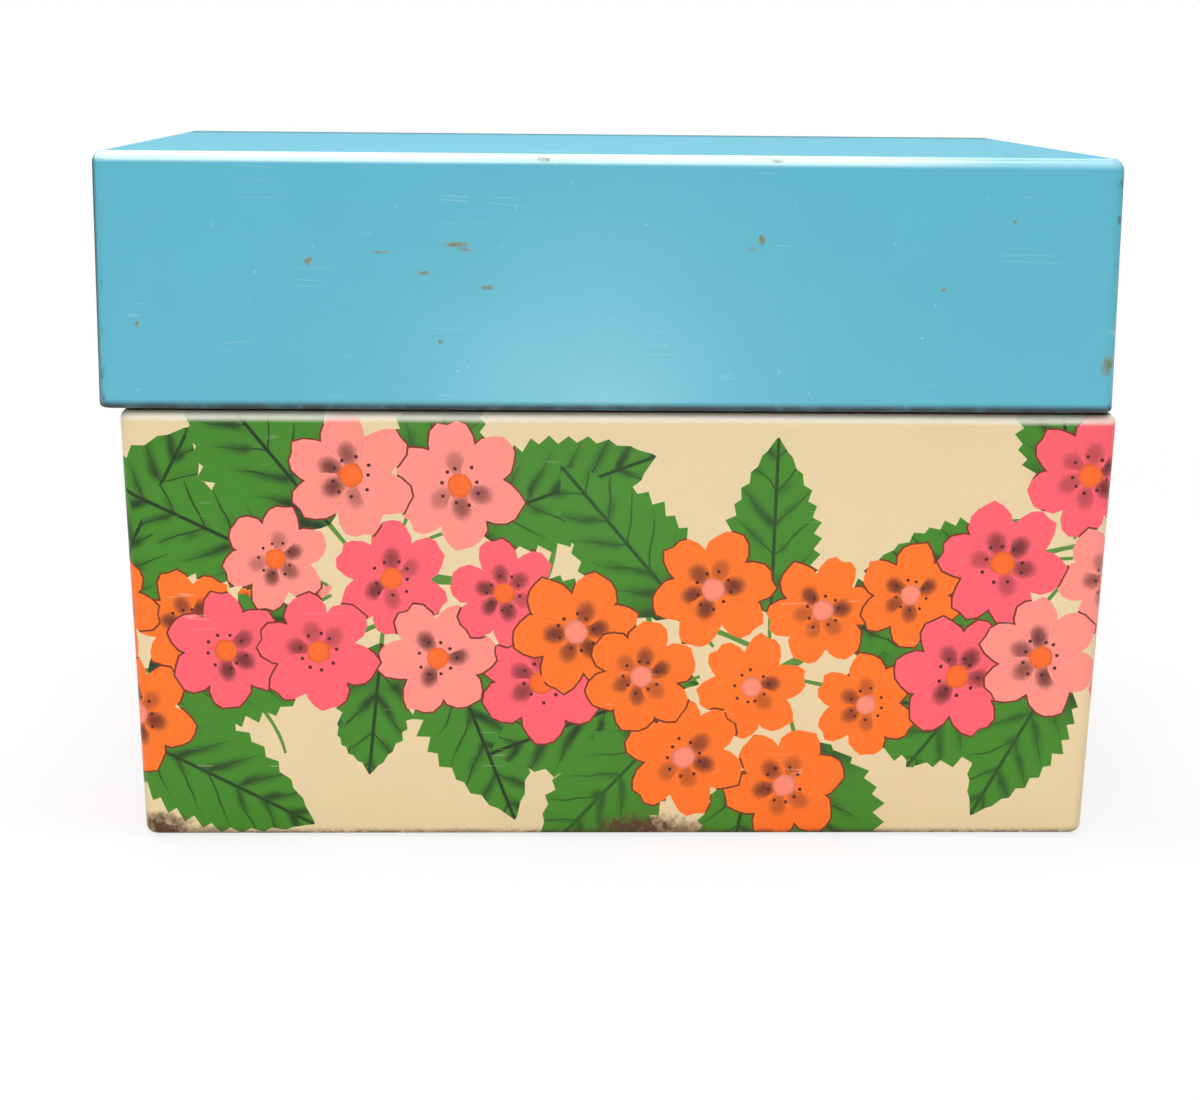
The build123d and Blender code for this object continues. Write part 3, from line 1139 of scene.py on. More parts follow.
@dataclass(frozen=True)
class LidEnamel:
    """Aqua stoving enamel, with rust specks, scratches, wear that darkens the corners and paler rubbing along
    the top's edges, a painted highlight along the front top edge, and painted shade along the hem and the left
    upright edge.
    """

    base: Colour = paint(90, 180, 201)
    pale: Colour = paint(190, 228, 236)
    # Pale colour for rubbing along the top's edges, also painted as a highlight along the front top edge.
    rubbed_and_highlight: Colour = paint(228, 250, 254)
    rust: Colour = paint(146, 142, 74)
    rust_dark: Colour = paint(104, 86, 40)
    # Dark colour for wear at the corners, also painted as shade along the hem and the left upright edge.
    wear_and_shade: Colour = paint(24, 30, 32)
    middle: Point = (-1.73, -0.4)
    reach: Point = (69.0, 47.625)
    specks: tuple[RustSpot, ...] = (
        RustSpot(-42.2, 81.0, 0.75, 0.65), RustSpot(-32.5, 82.2, 1.6, 0.22, 0.8),
        RustSpot(-22.4, 83.3, 1.9, 0.45), RustSpot(-21.2, 82.6, 1.2, 0.3, 0.8),
        RustSpot(-26.8, 79.5, 0.9, 0.35), RustSpot(-18.4, 77.6, 1.0, 0.4),
        RustSpot(-24.6, 70.3, 0.4, 0.35), RustSpot(-65.1, 72.4, 0.5, 0.5),
        RustSpot(18.4, 84.2, 0.6, 0.8), RustSpot(17.2, 83.0, 0.9, 0.25, 0.6),
        RustSpot(43.2, 77.8, 0.45, 0.45), RustSpot(52.5, 86.9, 0.4, 0.35),
        RustSpot(-10.9, 94.6, 1.0, 0.4), RustSpot(20.1, 94.7, 1.1, 0.35, 0.8),
        RustSpot(65.9, 67.6, 0.9, 1.5),
    )

    def material(self) -> bpy.types.Material:
        """Build the material.

        Returns:
            The material.
        """
        graph = Graph("lid_enamel")
        rust = self._rust(graph)
        wear_and_shade = self._wear_and_painted_shade(graph)
        fine = graph.noise(0.30, 1.0)
        broad = graph.noise(13.0, 1.0)
        marks = graph.scratches(2.6, 0.35, 0.008)
        pins = graph.noise(0.55, 0.0).ramp(0.85, 0.91)
        colour = graph.toned(self.base, 0.94 + 0.06 * broad + 0.06 * fine)
        colour = graph.mixed((marks * 0.22).most(pins * 0.45), colour, self.pale)
        # Pale rubbing round the top's edges, and a painted highlight along the front top edge.
        colour = graph.mixed(self._pale_edge_and_highlight(graph, broad), colour, self.rubbed_and_highlight)
        # Wear at the corners, and painted shade along the hem and the left upright edge.
        colour = graph.mixed(wear_and_shade, colour, self.wear_and_shade)
        mottle = graph.mixed(fine.ramp(0.35, 0.65), self.rust, self.rust_dark)
        colour = graph.mixed(rust, colour, mottle)
        top = graph.z.ramp(95.22, 95.29)
        rough = 0.20 + 0.06 * broad + 0.4 * rust + 0.2 * wear_and_shade + 0.25 * top
        waves = graph.bumped(graph.noise(30.0, 0.0), 0.35)
        peel = graph.noise(0.9, 1.0) - rust
        normal = graph.node("ShaderNodeBump", {}, {
            "Height": peel, "Distance": 0.009 * MM, "Strength": 1.0, "Normal": waves}).outputs[0]
        return graph.finish(Base_Color=colour, Roughness=rough, Normal=normal)

    def _rust(self, graph: Graph) -> Wire:
        """The rust specks that the front shows, and a few on the other sides.

        Args:
            graph: the material's graph.

        Returns:
            How much rust shows.
        """
        ragged = graph.noise(0.5, 3.0, roughness=0.65)
        front = graph.y.ramp(-45.5, -46.5)
        total = graph.noise(2.6, 3.0, roughness=0.7).ramp(0.735, 0.77) * (1 - front)
        for speck in self.specks:
            far = ((graph.x - speck.x) / speck.wide) ** 2 + ((graph.z - speck.z) / speck.high) ** 2
            total = total.most((far + ragged * 3.0).ramp(2.9, 1.1) * front * speck.strength * 0.85)
        return total

    def _past_faces(self, graph: Graph) -> tuple[Wire, Wire]:
        """How far a point stands past the side faces, and past the front and back."""
        return (abs(graph.x - self.middle[0]) - self.reach[0],
                abs(graph.y - self.middle[1]) - self.reach[1])

    def _pale_edge_and_highlight(self, graph: Graph, broad: Wire) -> Wire:
        """Enamel pale from rubbing along the edges of the top, with a painted highlight along the front top
        edge that fades towards the right.

        Args:
            graph: the material's graph.
            broad: broad noise.

        Returns:
            How much of the pale colour shows.
        """
        across, deep = self._past_faces(graph)
        rim = across.most(deep).ramp(-2.0, -1.5) * graph.z.ramp(93.7, 94.6)
        # Painted highlight along the front top edge, strongest on the left and fading towards the right.
        front = graph.y.ramp(-45.3, -46.2) * (graph.x - self.middle[0]).ramp(66.0, 30.0)
        return rim * (0.12 + 0.25 * broad).most(front * (0.62 + 0.3 * broad))

    def _wear_and_painted_shade(self, graph: Graph) -> Wire:
        """Enamel darkened in patches at the upright corners by wear, painted shade down the left upright edge
        near the front and along the rolled hem, and darker patches along the back of the top.

        Args:
            graph: the material's graph.

        Returns:
            How much of the dark colour shows.
        """
        # Painted shade: a dark strip down the left upright edge near the front, the side that lies in shade.
        left = (graph.x - self.middle[0]).ramp(-68.25, -68.8) * graph.y.ramp(-43.0, -46.0) * 0.8
        across, deep = self._past_faces(graph)
        corner = (across + deep).ramp(-1.5, -1.0)
        patchy = graph.noise(2.6, 2.0, roughness=0.6)
        # Painted shade along the rolled hem, which faces down into shade; the patches make it uneven.
        hem = graph.z.ramp(62.4, 61.35)
        back = graph.y.ramp(30.0, 47.0) * graph.z.ramp(94.8, 95.2) * (0.25 + 0.7 * patchy)
        wear_and_shade = left.most(corner * patchy.ramp(0.55, 0.64) * 0.8).most(back)
        return wear_and_shade.most(hem * (0.55 + 0.75 * patchy).least(0.95))


@dataclass(frozen=True)
class BareMetal:
    """Bare tinplate or drawn steel, with tarnish, grain and rust."""

    name: str
    base: Colour
    tarnish: Colour
    roughness: float
    grain: tuple[float, float, float]
    rust_from: float = 0.70

    def material(self) -> bpy.types.Material:
        """Build the material.

        Returns:
            The material.
        """
        graph = Graph(self.name)
        cloud = graph.noise(17.0, 2.0).ramp(0.30, 0.78)
        stretched = graph.node("ShaderNodeMapping", {"vector_type": "POINT"},
                               {"Vector": graph.place, "Scale": self.grain}).outputs[0]
        drawn = graph.noise(0.6, 3.0, stretched)
        rust = graph.noise(3.4, 5.0, roughness=0.7).ramp(self.rust_from, self.rust_from + 0.05)
        colour = graph.mixed(cloud * 0.5, self.base, self.tarnish)
        colour = graph.toned(colour, 0.9 + 0.2 * drawn)
        colour = graph.mixed(rust * 0.8, colour, paint(96, 60, 30))
        rough = self.roughness + 0.12 * drawn + 0.12 * cloud + 0.3 * rust
        normal = graph.bumped(drawn + rust, 0.006)
        return graph.finish(Base_Color=colour, Metallic=1.0 - rust * 0.8, Roughness=rough, Normal=normal)


# ---------------------------------------------------------------- body
@dataclass(frozen=True)
class BodyWall:
    """The printed wrap: foot, tapered sides, shoulder, neck and rolled rim."""

    sheet: float = 0.35
    top_reach: float = 68.25
    narrower: float = 21.375
    corner_radius: float = 2.0
    height: float = 60.7
    taper: float = 1.75
    shoulder_radius: float = 1.4
    foot_radius: float = 1.2
    ledge_reach: float = 62.5
    ledge_corner: float = 61.0
    neck_reach: float = 65.6
    neck_corner: float = 63.0
    neck_bend: float = 0.4
    rim_radius: float = 0.75
    rim_height: float = 69.95
    corner_steps: int = 6
    strap_places: Point = (-36.0, 36.0)
    slot_half: float = 6.1
    seam_half: float = 3.0
    seam_ends: Point = (7.85, 56.8)
    seam_bake: Point = (0.96, 0.93)

    @property
    def lean(self) -> float:
        """How far the sides lean, in degrees."""
        return math.degrees(math.atan2(self.taper, self.height))

    def corner_at(self, height: float) -> float:
        """The middle of the upright corner's round at a height, along X."""
        return self.top_reach - self.corner_radius - self.taper * (1 - height / self.height)

    def reach_at(self, height: float) -> float:
        """How far the outside of the side stands from the middle at a height."""
        return self.corner_at(height) + self.corner_radius

    def section(self) -> Section:
        """The sheet's section, out along the foot, up, and back down the inside.

        Returns:
            The section.
        """
        sheet, lean = self.sheet, self.lean
        slope = math.cos(math.radians(lean))
        foot = (self.reach_at(self.foot_radius) - self.foot_radius / slope, self.foot_radius)
        shoulder_z = self.height - self.shoulder_radius
        shoulder = (self.reach_at(shoulder_z) - self.shoulder_radius / slope, shoulder_z)
        bend = (self.neck_reach + self.neck_bend, self.height + self.neck_bend)
        rim = (self.neck_reach - self.rim_radius, self.rim_height)
        top_corner = self.corner_at(self.height)

        def neck(_: float) -> float:
            """The corner's middle on the neck, at any height."""
            return self.neck_corner
        section = Section(self.ledge_reach, 0.0, self.ledge_corner)
        section.straight(foot[0], 0.0, self.corner_at(0.0))
        section.arc(foot, self.foot_radius, -90, -lean, 5, self.corner_at)
        section.straight(*self._on_side(shoulder, self.shoulder_radius))
        section.arc(shoulder, self.shoulder_radius, -lean, 90, 7, self.corner_at)
        section.straight(bend[0], self.height, self.neck_corner)
        section.arc(bend, self.neck_bend, 270, 180, 4, neck)
        section.straight(self.neck_reach, self.rim_height, self.neck_corner)
        section.arc(rim, self.rim_radius, 0, 225, 12, neck)
        inner = self.rim_radius - sheet
        tip = math.radians(225)
        section.edge(rim[0] + inner * math.cos(tip), rim[1] + inner * math.sin(tip), self.neck_corner)
        section.arc(rim, inner, 225, 0, 8, neck)
        section.straight(self.neck_reach - sheet, bend[1], self.neck_corner)
        section.arc(bend, self.neck_bend + sheet, 180, 270, 4, neck)
        section.straight(shoulder[0], self.height - sheet, top_corner)
        section.arc(shoulder, self.shoulder_radius - sheet, 90, -lean, 5, self.corner_at)
        section.straight(*self._on_side(foot, self.foot_radius - sheet))
        section.arc(foot, self.foot_radius - sheet, -lean, -90, 4, self.corner_at)
        section.straight(self.ledge_reach, sheet, self.ledge_corner)
        section.straight(self.ledge_reach, 0.0, self.ledge_corner)
        return section

    def _on_side(self, centre: Point, radius: float) -> tuple[float, float, float]:
        """Where a bend about a centre meets the leaning side, with the corner's middle there.

        Args:
            centre: the bend's centre, as reach and height.
            radius: the bend's radius.

        Returns:
            The reach, the height and the middle of the corner's round.
        """
        lean = math.radians(self.lean)
        height = centre[1] - radius * math.sin(lean)
        return centre[0] + radius * math.cos(lean), height, self.corner_at(height)

    def ring(self) -> Ring:
        """The way round the body, measured at the shoulder."""
        front = self.corner_at(self.height)
        return Ring(front, self.corner_radius * math.pi / 2, front - self.narrower, self.narrower)


@dataclass(frozen=True)
class BakeMap:
    """Where half of the wrap goes on the baked picture, from 0 to 1 each way.

    The printed front lies along the picture's foot, the printed sides above it, and the rest of the
    sheet turned on its side in the corner that is left.
    """

    face: float
    half_way: float
    low: float
    high: float
    scale: float = 7.25 / 1024
    rest_scale: float = 2.4 / 1024
    gap: float = 6 / 1024

    def place(self, band: Band, along: float, run: float, across: float) -> Point:
        """The place of a point of the sheet.

        Args:
            band: the band that the face is in.
            along: millimetres round the wall from the half's middle.
            run: millimetres along the section.
            across: the same as along, for the face's middle.

        Returns:
            The place on the picture.
        """
        row = (self.high - self.low) * self.scale + self.gap
        side = (self.half_way - self.face) * self.scale + self.gap
        if not self.low <= (band.low + band.high) / 2 <= self.high:
            rest = run if run <= self.low else run - (self.high - self.low)
            return (2 * side + rest * self.rest_scale + self.gap,
                    row + (along + self.half_way) * self.rest_scale + self.gap)
        up = (run - self.low) * self.scale
        if abs(across) <= self.face:
            return 0.5 + along * self.scale, up + self.gap / 2
        if across < 0:
            return (along + self.half_way) * self.scale, row + up
        return side + (along - self.face) * self.scale, row + up


@dataclass
class SheetDrawing:
    """The outlines and lines that the sheet's triangles follow."""

    points: list[Vector] = field(default_factory=list)
    edges: list[tuple[int, int]] = field(default_factory=list)
    faces: list[list[int]] = field(default_factory=list)

    def outline(self, loop: Sequence[Point]) -> None:
        """Add a closed outline as a face, anticlockwise.

        Args:
            loop: its corners on the sheet.
        """
        first = len(self.points)
        turning = sum(a[0] * b[1] - b[0] * a[1] for a, b in zip(loop, [*loop[1:], loop[0]]))
        self.points.extend(Vector(point) for point in (loop if turning > 0 else reversed(loop)))
        self.faces.append(list(range(first, first + len(loop))))

    def line(self, start: Point, end: Point) -> None:
        """Add a line that the mesh has to follow."""
        self.points.extend((Vector(start), Vector(end)))
        self.edges.append((len(self.points) - 2, len(self.points) - 1))


@dataclass(frozen=True)
class PrintedHalf:
    """One half of the printed wrap, cut down the middle of both sides."""

    name: str
    middle: float
    wall: BodyWall = BodyWall()
    slots: tuple[tuple[float, float], ...] = ()
    slot_reach: Point = (66.2, 66.8)

    def build(self, motifs: Sequence[Motif], materials: Sequence[bpy.types.Material]) -> bpy.types.Object:
        """Make the half.

        Args:
            motifs: the print, lowest first.
            materials: the outside and the inside.

        Returns:
            The piece.
        """
        section, ring = self.wall.section(), self.wall.ring()
        low, high = self.middle - ring.half_way, self.middle + ring.half_way
        printed = self._printed_range(section)
        near = [motif for motif in motifs if self._near(motif, low, high)]
        shapes = [(motif, self._cut(motif.outline, printed)) for motif in near]
        shapes = [(motif, loop) for motif, loop in shapes if len(loop) > 2]
        holes = self._slot_outlines(section, ring)
        bake_map = BakeMap(ring.front + ring.arc, ring.half_way, printed[0], self._shoulder(section).high)
        drawing = SheetDrawing()
        drawing.outline([(low, 0.0), (high, 0.0), (high, section.run), (low, section.run)])
        for band in section.bands[1:]:
            drawing.line((low, band.low), (high, band.low))
        for place in [0.0, *ring.corner_lines(self.wall.corner_steps)]:
            for whole in (-ring.whole, 0.0):
                if low < place + whole < high:
                    drawing.line((place + whole, 0.0), (place + whole, section.run))
        for loop in [*holes, *(loop for _, loop in shapes)]:
            drawing.outline(loop)
        verts, _, tris, _, _, sources = delaunay_2d_cdt(
            drawing.points, drawing.edges, drawing.faces, 0, 1e-5, True)
        first_shape = 1 + len(holes)
        maker = MeshMaker()
        spots: dict[int, Point] = {}
        for tri, owners in zip(tris, sources):
            if 0 not in owners or any(0 < owner < first_shape for owner in owners):
                continue
            middle_run = sum(verts[number].y for number in tri) / 3
            band = section.band_at(middle_run)
            motif = self._top([shapes[owner - first_shape][0] for owner in sorted(owners) if owner])
            across = sum(verts[number].x for number in tri) / 3 - self.middle
            corners = []
            for number in tri:
                along, run = verts[number]
                spots[number] = (along, run)
                bake = bake_map.place(band, along - self.middle, run, across)
                corners.append(self._corner(ring, band, along, run, bake, motif))
            maker.add(corners, band.side)
        self._slot_walls(maker, section, ring, holes)
        if self.slots:
            self._lock_seam(maker)
        for edge_line, hand in ((low, 1), (high, -1)):
            self._cap(maker, section, ring, edge_line, hand, spots)
        return maker.made(self.name, materials)

    @staticmethod
    def _near(motif: Motif, low: float, high: float) -> bool:
        """Whether a motif reaches into this half."""
        return any(low < point[0] < high for point in motif.outline)

    def _printed_range(self, section: Section) -> Point:
        """Where along the section the print begins and ends.

        Args:
            section: the wall's section.

        Returns:
            The start of the foot's bend, and the end of the shoulder's bend.
        """
        return section.bands[0].high, self._shoulder(section).low

    @staticmethod
    def _shoulder(section: Section) -> Band:
        """The flat of the shoulder, on the outside of the sheet."""
        return next(band for band in section.bands
                    if not band.bend and abs(band.start.tilt - math.pi / 2) < ROUND_OFF)

    @staticmethod
    def _cut(outline: Sequence[Point], limits: Point) -> list[Point]:
        """Cut an outline off at both limits of the print.

        Args:
            outline: the outline.
            limits: the lowest and highest run.

        Returns:
            What is left of it.
        """
        loop = list(outline)
        for limit, sign in zip(limits, (1, -1)):
            kept: list[Point] = []
            for start, end in zip(loop, loop[1:] + loop[:1]):
                inside = [sign * (point[1] - limit) >= 0 for point in (start, end)]
                if inside[0]:
                    kept.append(start)
                if inside[0] != inside[1]:
                    share = (limit - start[1]) / (end[1] - start[1])
                    kept.append((start[0] + (end[0] - start[0]) * share, limit))
            loop = kept
        return loop

    def _slot_outlines(self, section: Section, ring: Ring) -> list[list[Point]]:
        """The strap slots in the shoulder, on the outside and then on the inside of the sheet.

        Args:
            section: the wall's section.
            ring: the way round the wall.

        Returns:
            Two outlines for each slot, with their points in the same order.
        """
        outlines = []
        inner = next(band for band in section.bands if band.side is Side.INSIDE and not band.bend
                     and abs(math.sin(band.start.tilt) + 1) < ROUND_OFF)
        near, far = self.slot_reach
        for start, end in self.slots:
            for flat in (self._shoulder(section), inner):
                loop = []
                for x, reach in ((start, near), (end, near), (end, far), (start, far)):
                    share = (reach - flat.start.reach) / (flat.end.reach - flat.start.reach)
                    run = flat.low + share * (flat.high - flat.low)
                    loop.append((ring.whole / 2 - x * ring.front / flat.at(run).corner, run))
                outlines.append(loop)
        return outlines

    def _slot_walls(self, maker: MeshMaker, section: Section, ring: Ring,
                    outlines: Sequence[Sequence[Point]]) -> None:
        """Close the cut metal round each slot.

        Args:
            maker: where the faces go.
            section: the wall's section.
            ring: the way round the wall.
            outlines: the slots, outside and inside.
        """
        for outer, inner in zip(outlines[::2], outlines[1::2]):
            rims = [[ring.at(along, section.band_at(run).at(run))[0] for along, run in loop]
                    for loop in (outer, inner)]
            middle = sum(rims[0], Vector()) / 4
            for first in range(4):
                last = (first + 1) % 4
                quad = [rims[0][first], rims[0][last], rims[1][last], rims[1][first]]
                facing = (quad[1] - quad[0]).cross(quad[2] - quad[1]).normalized()
                if facing.dot(middle - quad[0]) < 0:
                    quad.reverse()
                    facing = -facing
                maker.add([Corner(point, facing, (0.99, 0.99)) for point in quad], Side.INSIDE)

    @staticmethod
    def _top(owners: Sequence[Motif]) -> Motif | None:
        """The motif that shows. An outline shows only over another shape.

        Args:
            owners: the motifs here, lowest first.

        Returns:
            The motif, or None for bare ground.
        """
        for number in range(len(owners) - 1, -1, -1):
            if owners[number].kind is not Kind.OUTLINE:
                return owners[number]
            below = [owner.kind for owner in owners[:number]]
            if Kind.LEAF in below or Kind.PETAL in below:
                return owners[number]
        return None

    @staticmethod
    def _corner(ring: Ring, band: Band, along: float, run: float, bake: Point,
                motif: Motif | None) -> Corner:
        """What the mesh holds at a point of the sheet.

        Args:
            ring: the way round the wall.
            band: the band that the face is in.
            along: millimetres round the wall.
            run: millimetres along the section.
            bake: its place on the baked picture.
            motif: what is printed there.

        Returns:
            The corner.
        """
        point, normal = ring.at(along, band.at(run))
        if motif is None:
            return Corner(point, normal, bake)
        x, y = motif.local((along, run))
        return Corner(point, normal, bake, (*motif.ink.value[:3], motif.depth), (x, y, float(motif.kind)))

    def _lock_seam(self, maker: MeshMaker) -> None:
        """Add the folded lock seam, flat against the inside of the back.

        Args:
            maker: where the faces go.
        """
        wall = self.wall
        lean = math.radians(wall.lean)
        inward = Vector((0, -math.cos(lean), math.sin(lean))) * (2 * wall.sheet * MM)
        shape = []
        half, (foot, top) = wall.seam_half, wall.seam_ends
        for x, z in ((half, foot), (half, top), (-half, top), (-half, foot)):
            back = wall.reach_at(z) - wall.narrower - wall.sheet / math.cos(lean)
            shape.append(Vector((x, back, z)) * MM)
        maker.plate(shape, inward, wall.seam_bake)

    def _cap(self, maker: MeshMaker, section: Section, ring: Ring, line: float, hand: int,
             spots: Mapping[int, Point]) -> None:
        """Close the cut edge of the half with one thin face.

        Args:
            maker: where the face goes.
            section: the wall's section.
            ring: the way round the wall.
            line: where the cut is.
            hand: 1 where the face's order is the section's own, else -1.
            spots: the places of the mesh's points on the sheet.
        """
        runs = sorted({round(run, 6) for along, run in spots.values() if abs(along - line) < 1e-4})
        facing = Vector((0, 1 if self.middle == 0 else -1, 0))
        corners = []
        for run in runs[:-1]:
            point, _ = ring.at(line, section.band_at(run).at(run))
            corners.append(Corner(point, facing, (0.97 + hand * 0.01, run / section.run * 0.02)))
        maker.add(corners[::hand], Side.INSIDE)


# ---------------------------------------------------------------- lid
class Foot(Enum):
    """How the lid's lower edge ends."""

    HEM = "rolled in"
    PLAIN = "cut"
    HINGE = "rolled round the wire"
    NOTCH = "cut away for a strap"


class LidPart(Enum):
    """The parts of the lid that lie apart on its baked picture."""

    WALL = "outside of the walls"
    TOP = "top"
    LINING = "inside of the walls"
    CEILING = "inside of the top"


@dataclass(frozen=True)
class LidBakeMap:
    """Where the lid goes on its baked picture, from 0 to 1 each way."""

    face: float
    half_way: float
    pixel: float = 1 / 1024
    front_scale: float = 7.15
    scale: float = 3.9
    inside_scale: float = 1.95
    top_middle: Point = (270.0, 482.0)
    ceiling_middle: Point = (700.0, 765.0)
    lining_start: Point = (2.0, 866.0)
    lining_height: float = 32.0
    front_foot: Point = (512.0, 46.0)
    back_foot: Point = (275.0, 700.0)
    left_foot: Point = (546.0, 326.0)
    right_foot: Point = (546.0, 494.0)

    def place(self, part: LidPart, along: float, up: float, spot: Point, across: float) -> Point:
        """The place of a point of the lid.

        Args:
            part: which part of the lid the face is on.
            along: millimetres round from the middle of the front.
            up: millimetres along the section from the top of the notches.
            spot: the point seen from above, from the lid's middle.
            across: the same as along, for the face's middle.

        Returns:
            The place on the picture.
        """
        side = 2 * self.half_way - 2 * self.face
        if part is LidPart.TOP:
            foot, scale, way = self.top_middle, self.scale, spot
        elif part is LidPart.CEILING:
            foot, scale, way = self.ceiling_middle, self.inside_scale, spot
        elif part is LidPart.LINING:
            foot, scale = self.lining_start, self.inside_scale
            way = (along + 2 * self.half_way, self.lining_height - up)
        elif abs(across) <= self.face:
            foot, scale, way = self.front_foot, self.front_scale, (along, up)
        elif abs(across) >= self.face + side:
            foot, scale = self.back_foot, self.scale
            way = (along - math.copysign(2 * self.half_way, across), up)
        else:
            foot = self.left_foot if across < 0 else self.right_foot
            scale, way = self.scale, (abs(along) - self.face, up)
        return (foot[0] + way[0] * scale) * self.pixel, (foot[1] + way[1] * scale) * self.pixel


@dataclass(frozen=True)
class LidShell:
    """The deep lid: one folded sheet with a rolled-in hem, rolled round the wire at the back."""

    sheet: float = 0.35
    reach: float = 69.0
    corner: float = 67.0
    narrower: float = 21.375
    centre: Point = (-1.73, -0.4)
    top: float = 95.3
    edge_radius: float = 1.6
    hem_radius: float = 0.6
    hem_height: float = 61.6
    hinge_radius: float = 1.1
    hinge_height: float = 62.1
    notch_top: float = 63.8
    wrap: float = 225.0
    hem_end: float = 43.525
    hinge_half: float = 64.0
    notch: Point = (28.05, 43.95)
    corner_steps: int = 8
    hem_steps: int = 10
    hinge_steps: int = 14
    edge_steps: int = 7
    edge_inner_steps: int = 5
    wall_levels: Point = (72.0, 83.0)
    top_rings: Point = (50.0, 25.4)
    top_corner: float = 0.4
    lap_width: float = 9.0
    lap_foot: Point = (63.4, 64.4)
    lap_top: float = 92.5
    lap_cut: float = 1.4
    lap_bake: Point = (0.55, 0.985)
    end_bake: Point = (0.90, 0.985)

    def ring(self) -> Ring:
        """The way round the lid."""
        radius = self.reach - self.corner
        return Ring(self.corner, radius * math.pi / 2, self.corner - self.narrower, self.narrower, self.centre)

    def section(self, foot: Foot) -> Section:
        """The lid's section where its lower edge ends in one way.

        Args:
            foot: how the edge ends.

        Returns:
            The section, from the edge up to the middle of the top, and back down the inside.
        """
        def corner(_: float) -> float:
            """The upright corner's middle, the same at every height."""
            return self.corner
        rolls = {Foot.HEM: (self.hem_radius, self.hem_height, self.hem_steps),
                 Foot.HINGE: (self.hinge_radius, self.hinge_height, self.hinge_steps)}
        starts = {Foot.PLAIN: self.hinge_height, Foot.NOTCH: self.notch_top}
        bend = (self.reach - self.edge_radius, self.top - self.edge_radius)
        inner = self.reach - self.sheet
        levels = [self.hinge_height, self.notch_top, *self.wall_levels, bend[1]]
        if foot in rolls:
            radius, height, steps = rolls[foot]
            roll = (self.reach - radius, height)
            turn = math.radians(-self.wrap)
            tip = (roll[0] + radius * math.cos(turn), height + radius * math.sin(turn))
            section = Section(*tip, self.corner)
            section.arc(roll, radius, -self.wrap, 0, steps, corner)
        else:
            height = starts[foot]
            section = Section(self.reach, height, self.corner)
        rising = [level for level in levels if level > height + ROUND_OFF]
        for level in rising:
            section.straight(self.reach, level, self.corner)
        section.arc(bend, self.edge_radius, 0, 90, self.edge_steps, corner)
        for reach in self.top_rings:
            section.straight(reach, self.top, reach - self.top_corner)
        section.cross_over(self.top - self.sheet)
        for reach in (self.top_rings[0], bend[0]):
            section.straight(reach, self.top - self.sheet, reach - self.top_corner)
        section.arc(bend, self.edge_radius - self.sheet, 90, 0, self.edge_inner_steps, corner)
        for level in [*rising[-2::-1], height]:
            section.straight(inner, level, self.corner)
        if foot in rolls:
            section.arc(roll, radius - self.sheet, 0, -self.wrap, steps - 4, corner)
            section.straight(*tip, self.corner)
        else:
            section.straight(self.reach, height, self.corner)
        return section

    def _foot_at(self, along: float, ring: Ring) -> Foot:
        """How the lower edge ends at a place round the lid.

        Args:
            along: the place, from the middle of the front.
            ring: the way round the lid.

        Returns:
            The kind of edge there.
        """
        rest = abs(math.remainder(along, ring.whole))
        across = ring.whole / 2 - rest
        if rest < ring.front + ring.arc + ring.side + self.hem_end:
            return Foot.HEM
        if across > self.hinge_half:
            return Foot.PLAIN
        return Foot.NOTCH if self.notch[0] < across < self.notch[1] else Foot.HINGE

    def build(self, name: str, materials: Sequence[bpy.types.Material]) -> bpy.types.Object:
        """Make the lid.

        Args:
            name: the piece's name.
            materials: the outside and the inside.

        Returns:
            The piece.
        """
        ring = self.ring()
        bake_map = LidBakeMap(ring.front + ring.arc, ring.half_way)
        sections = {foot: self.section(foot) for foot in Foot}
        hem_line = ring.front + ring.arc + ring.side + self.hem_end
        breaks = [hem_line, *(ring.whole / 2 - x for x in (self.hinge_half, *self.notch))]
        lines = sorted({round(line, 6) for line in (
            0.0, ring.half_way, ring.whole - ring.half_way, ring.whole / 2, *breaks,
            *(ring.whole - line for line in breaks), *ring.corner_lines(self.corner_steps))})
        maker = MeshMaker()
        turns = list(zip(lines, [*lines[1:], ring.whole]))
        feet = [self._foot_at((start + end) / 2, ring) for start, end in turns]
        for (start, end), foot in zip(turns, feet):
            self._strip(maker, ring, sections[foot], start, end, bake_map)
        for number, (start, _) in enumerate(turns):
            if feet[number] is not feet[number - 1]:
                self._end(maker, ring, start, (feet[number - 1], feet[number]), sections)
        for height, step in ((self.top, 1), (self.top - self.sheet, -1)):
            last = self.top_rings[-1]
            level = Level(last, height, last - self.top_corner, math.pi / 2 * step)
            part = LidPart.TOP if step == 1 else LidPart.CEILING
            side = Side.OUTSIDE if step == 1 else Side.INSIDE
            loop = [self._corner(ring, line, 0.0, level, part, bake_map, line) for line in lines]
            maker.add(loop[::step], side)
        self._laps(maker)
        return maker.made(name, materials)

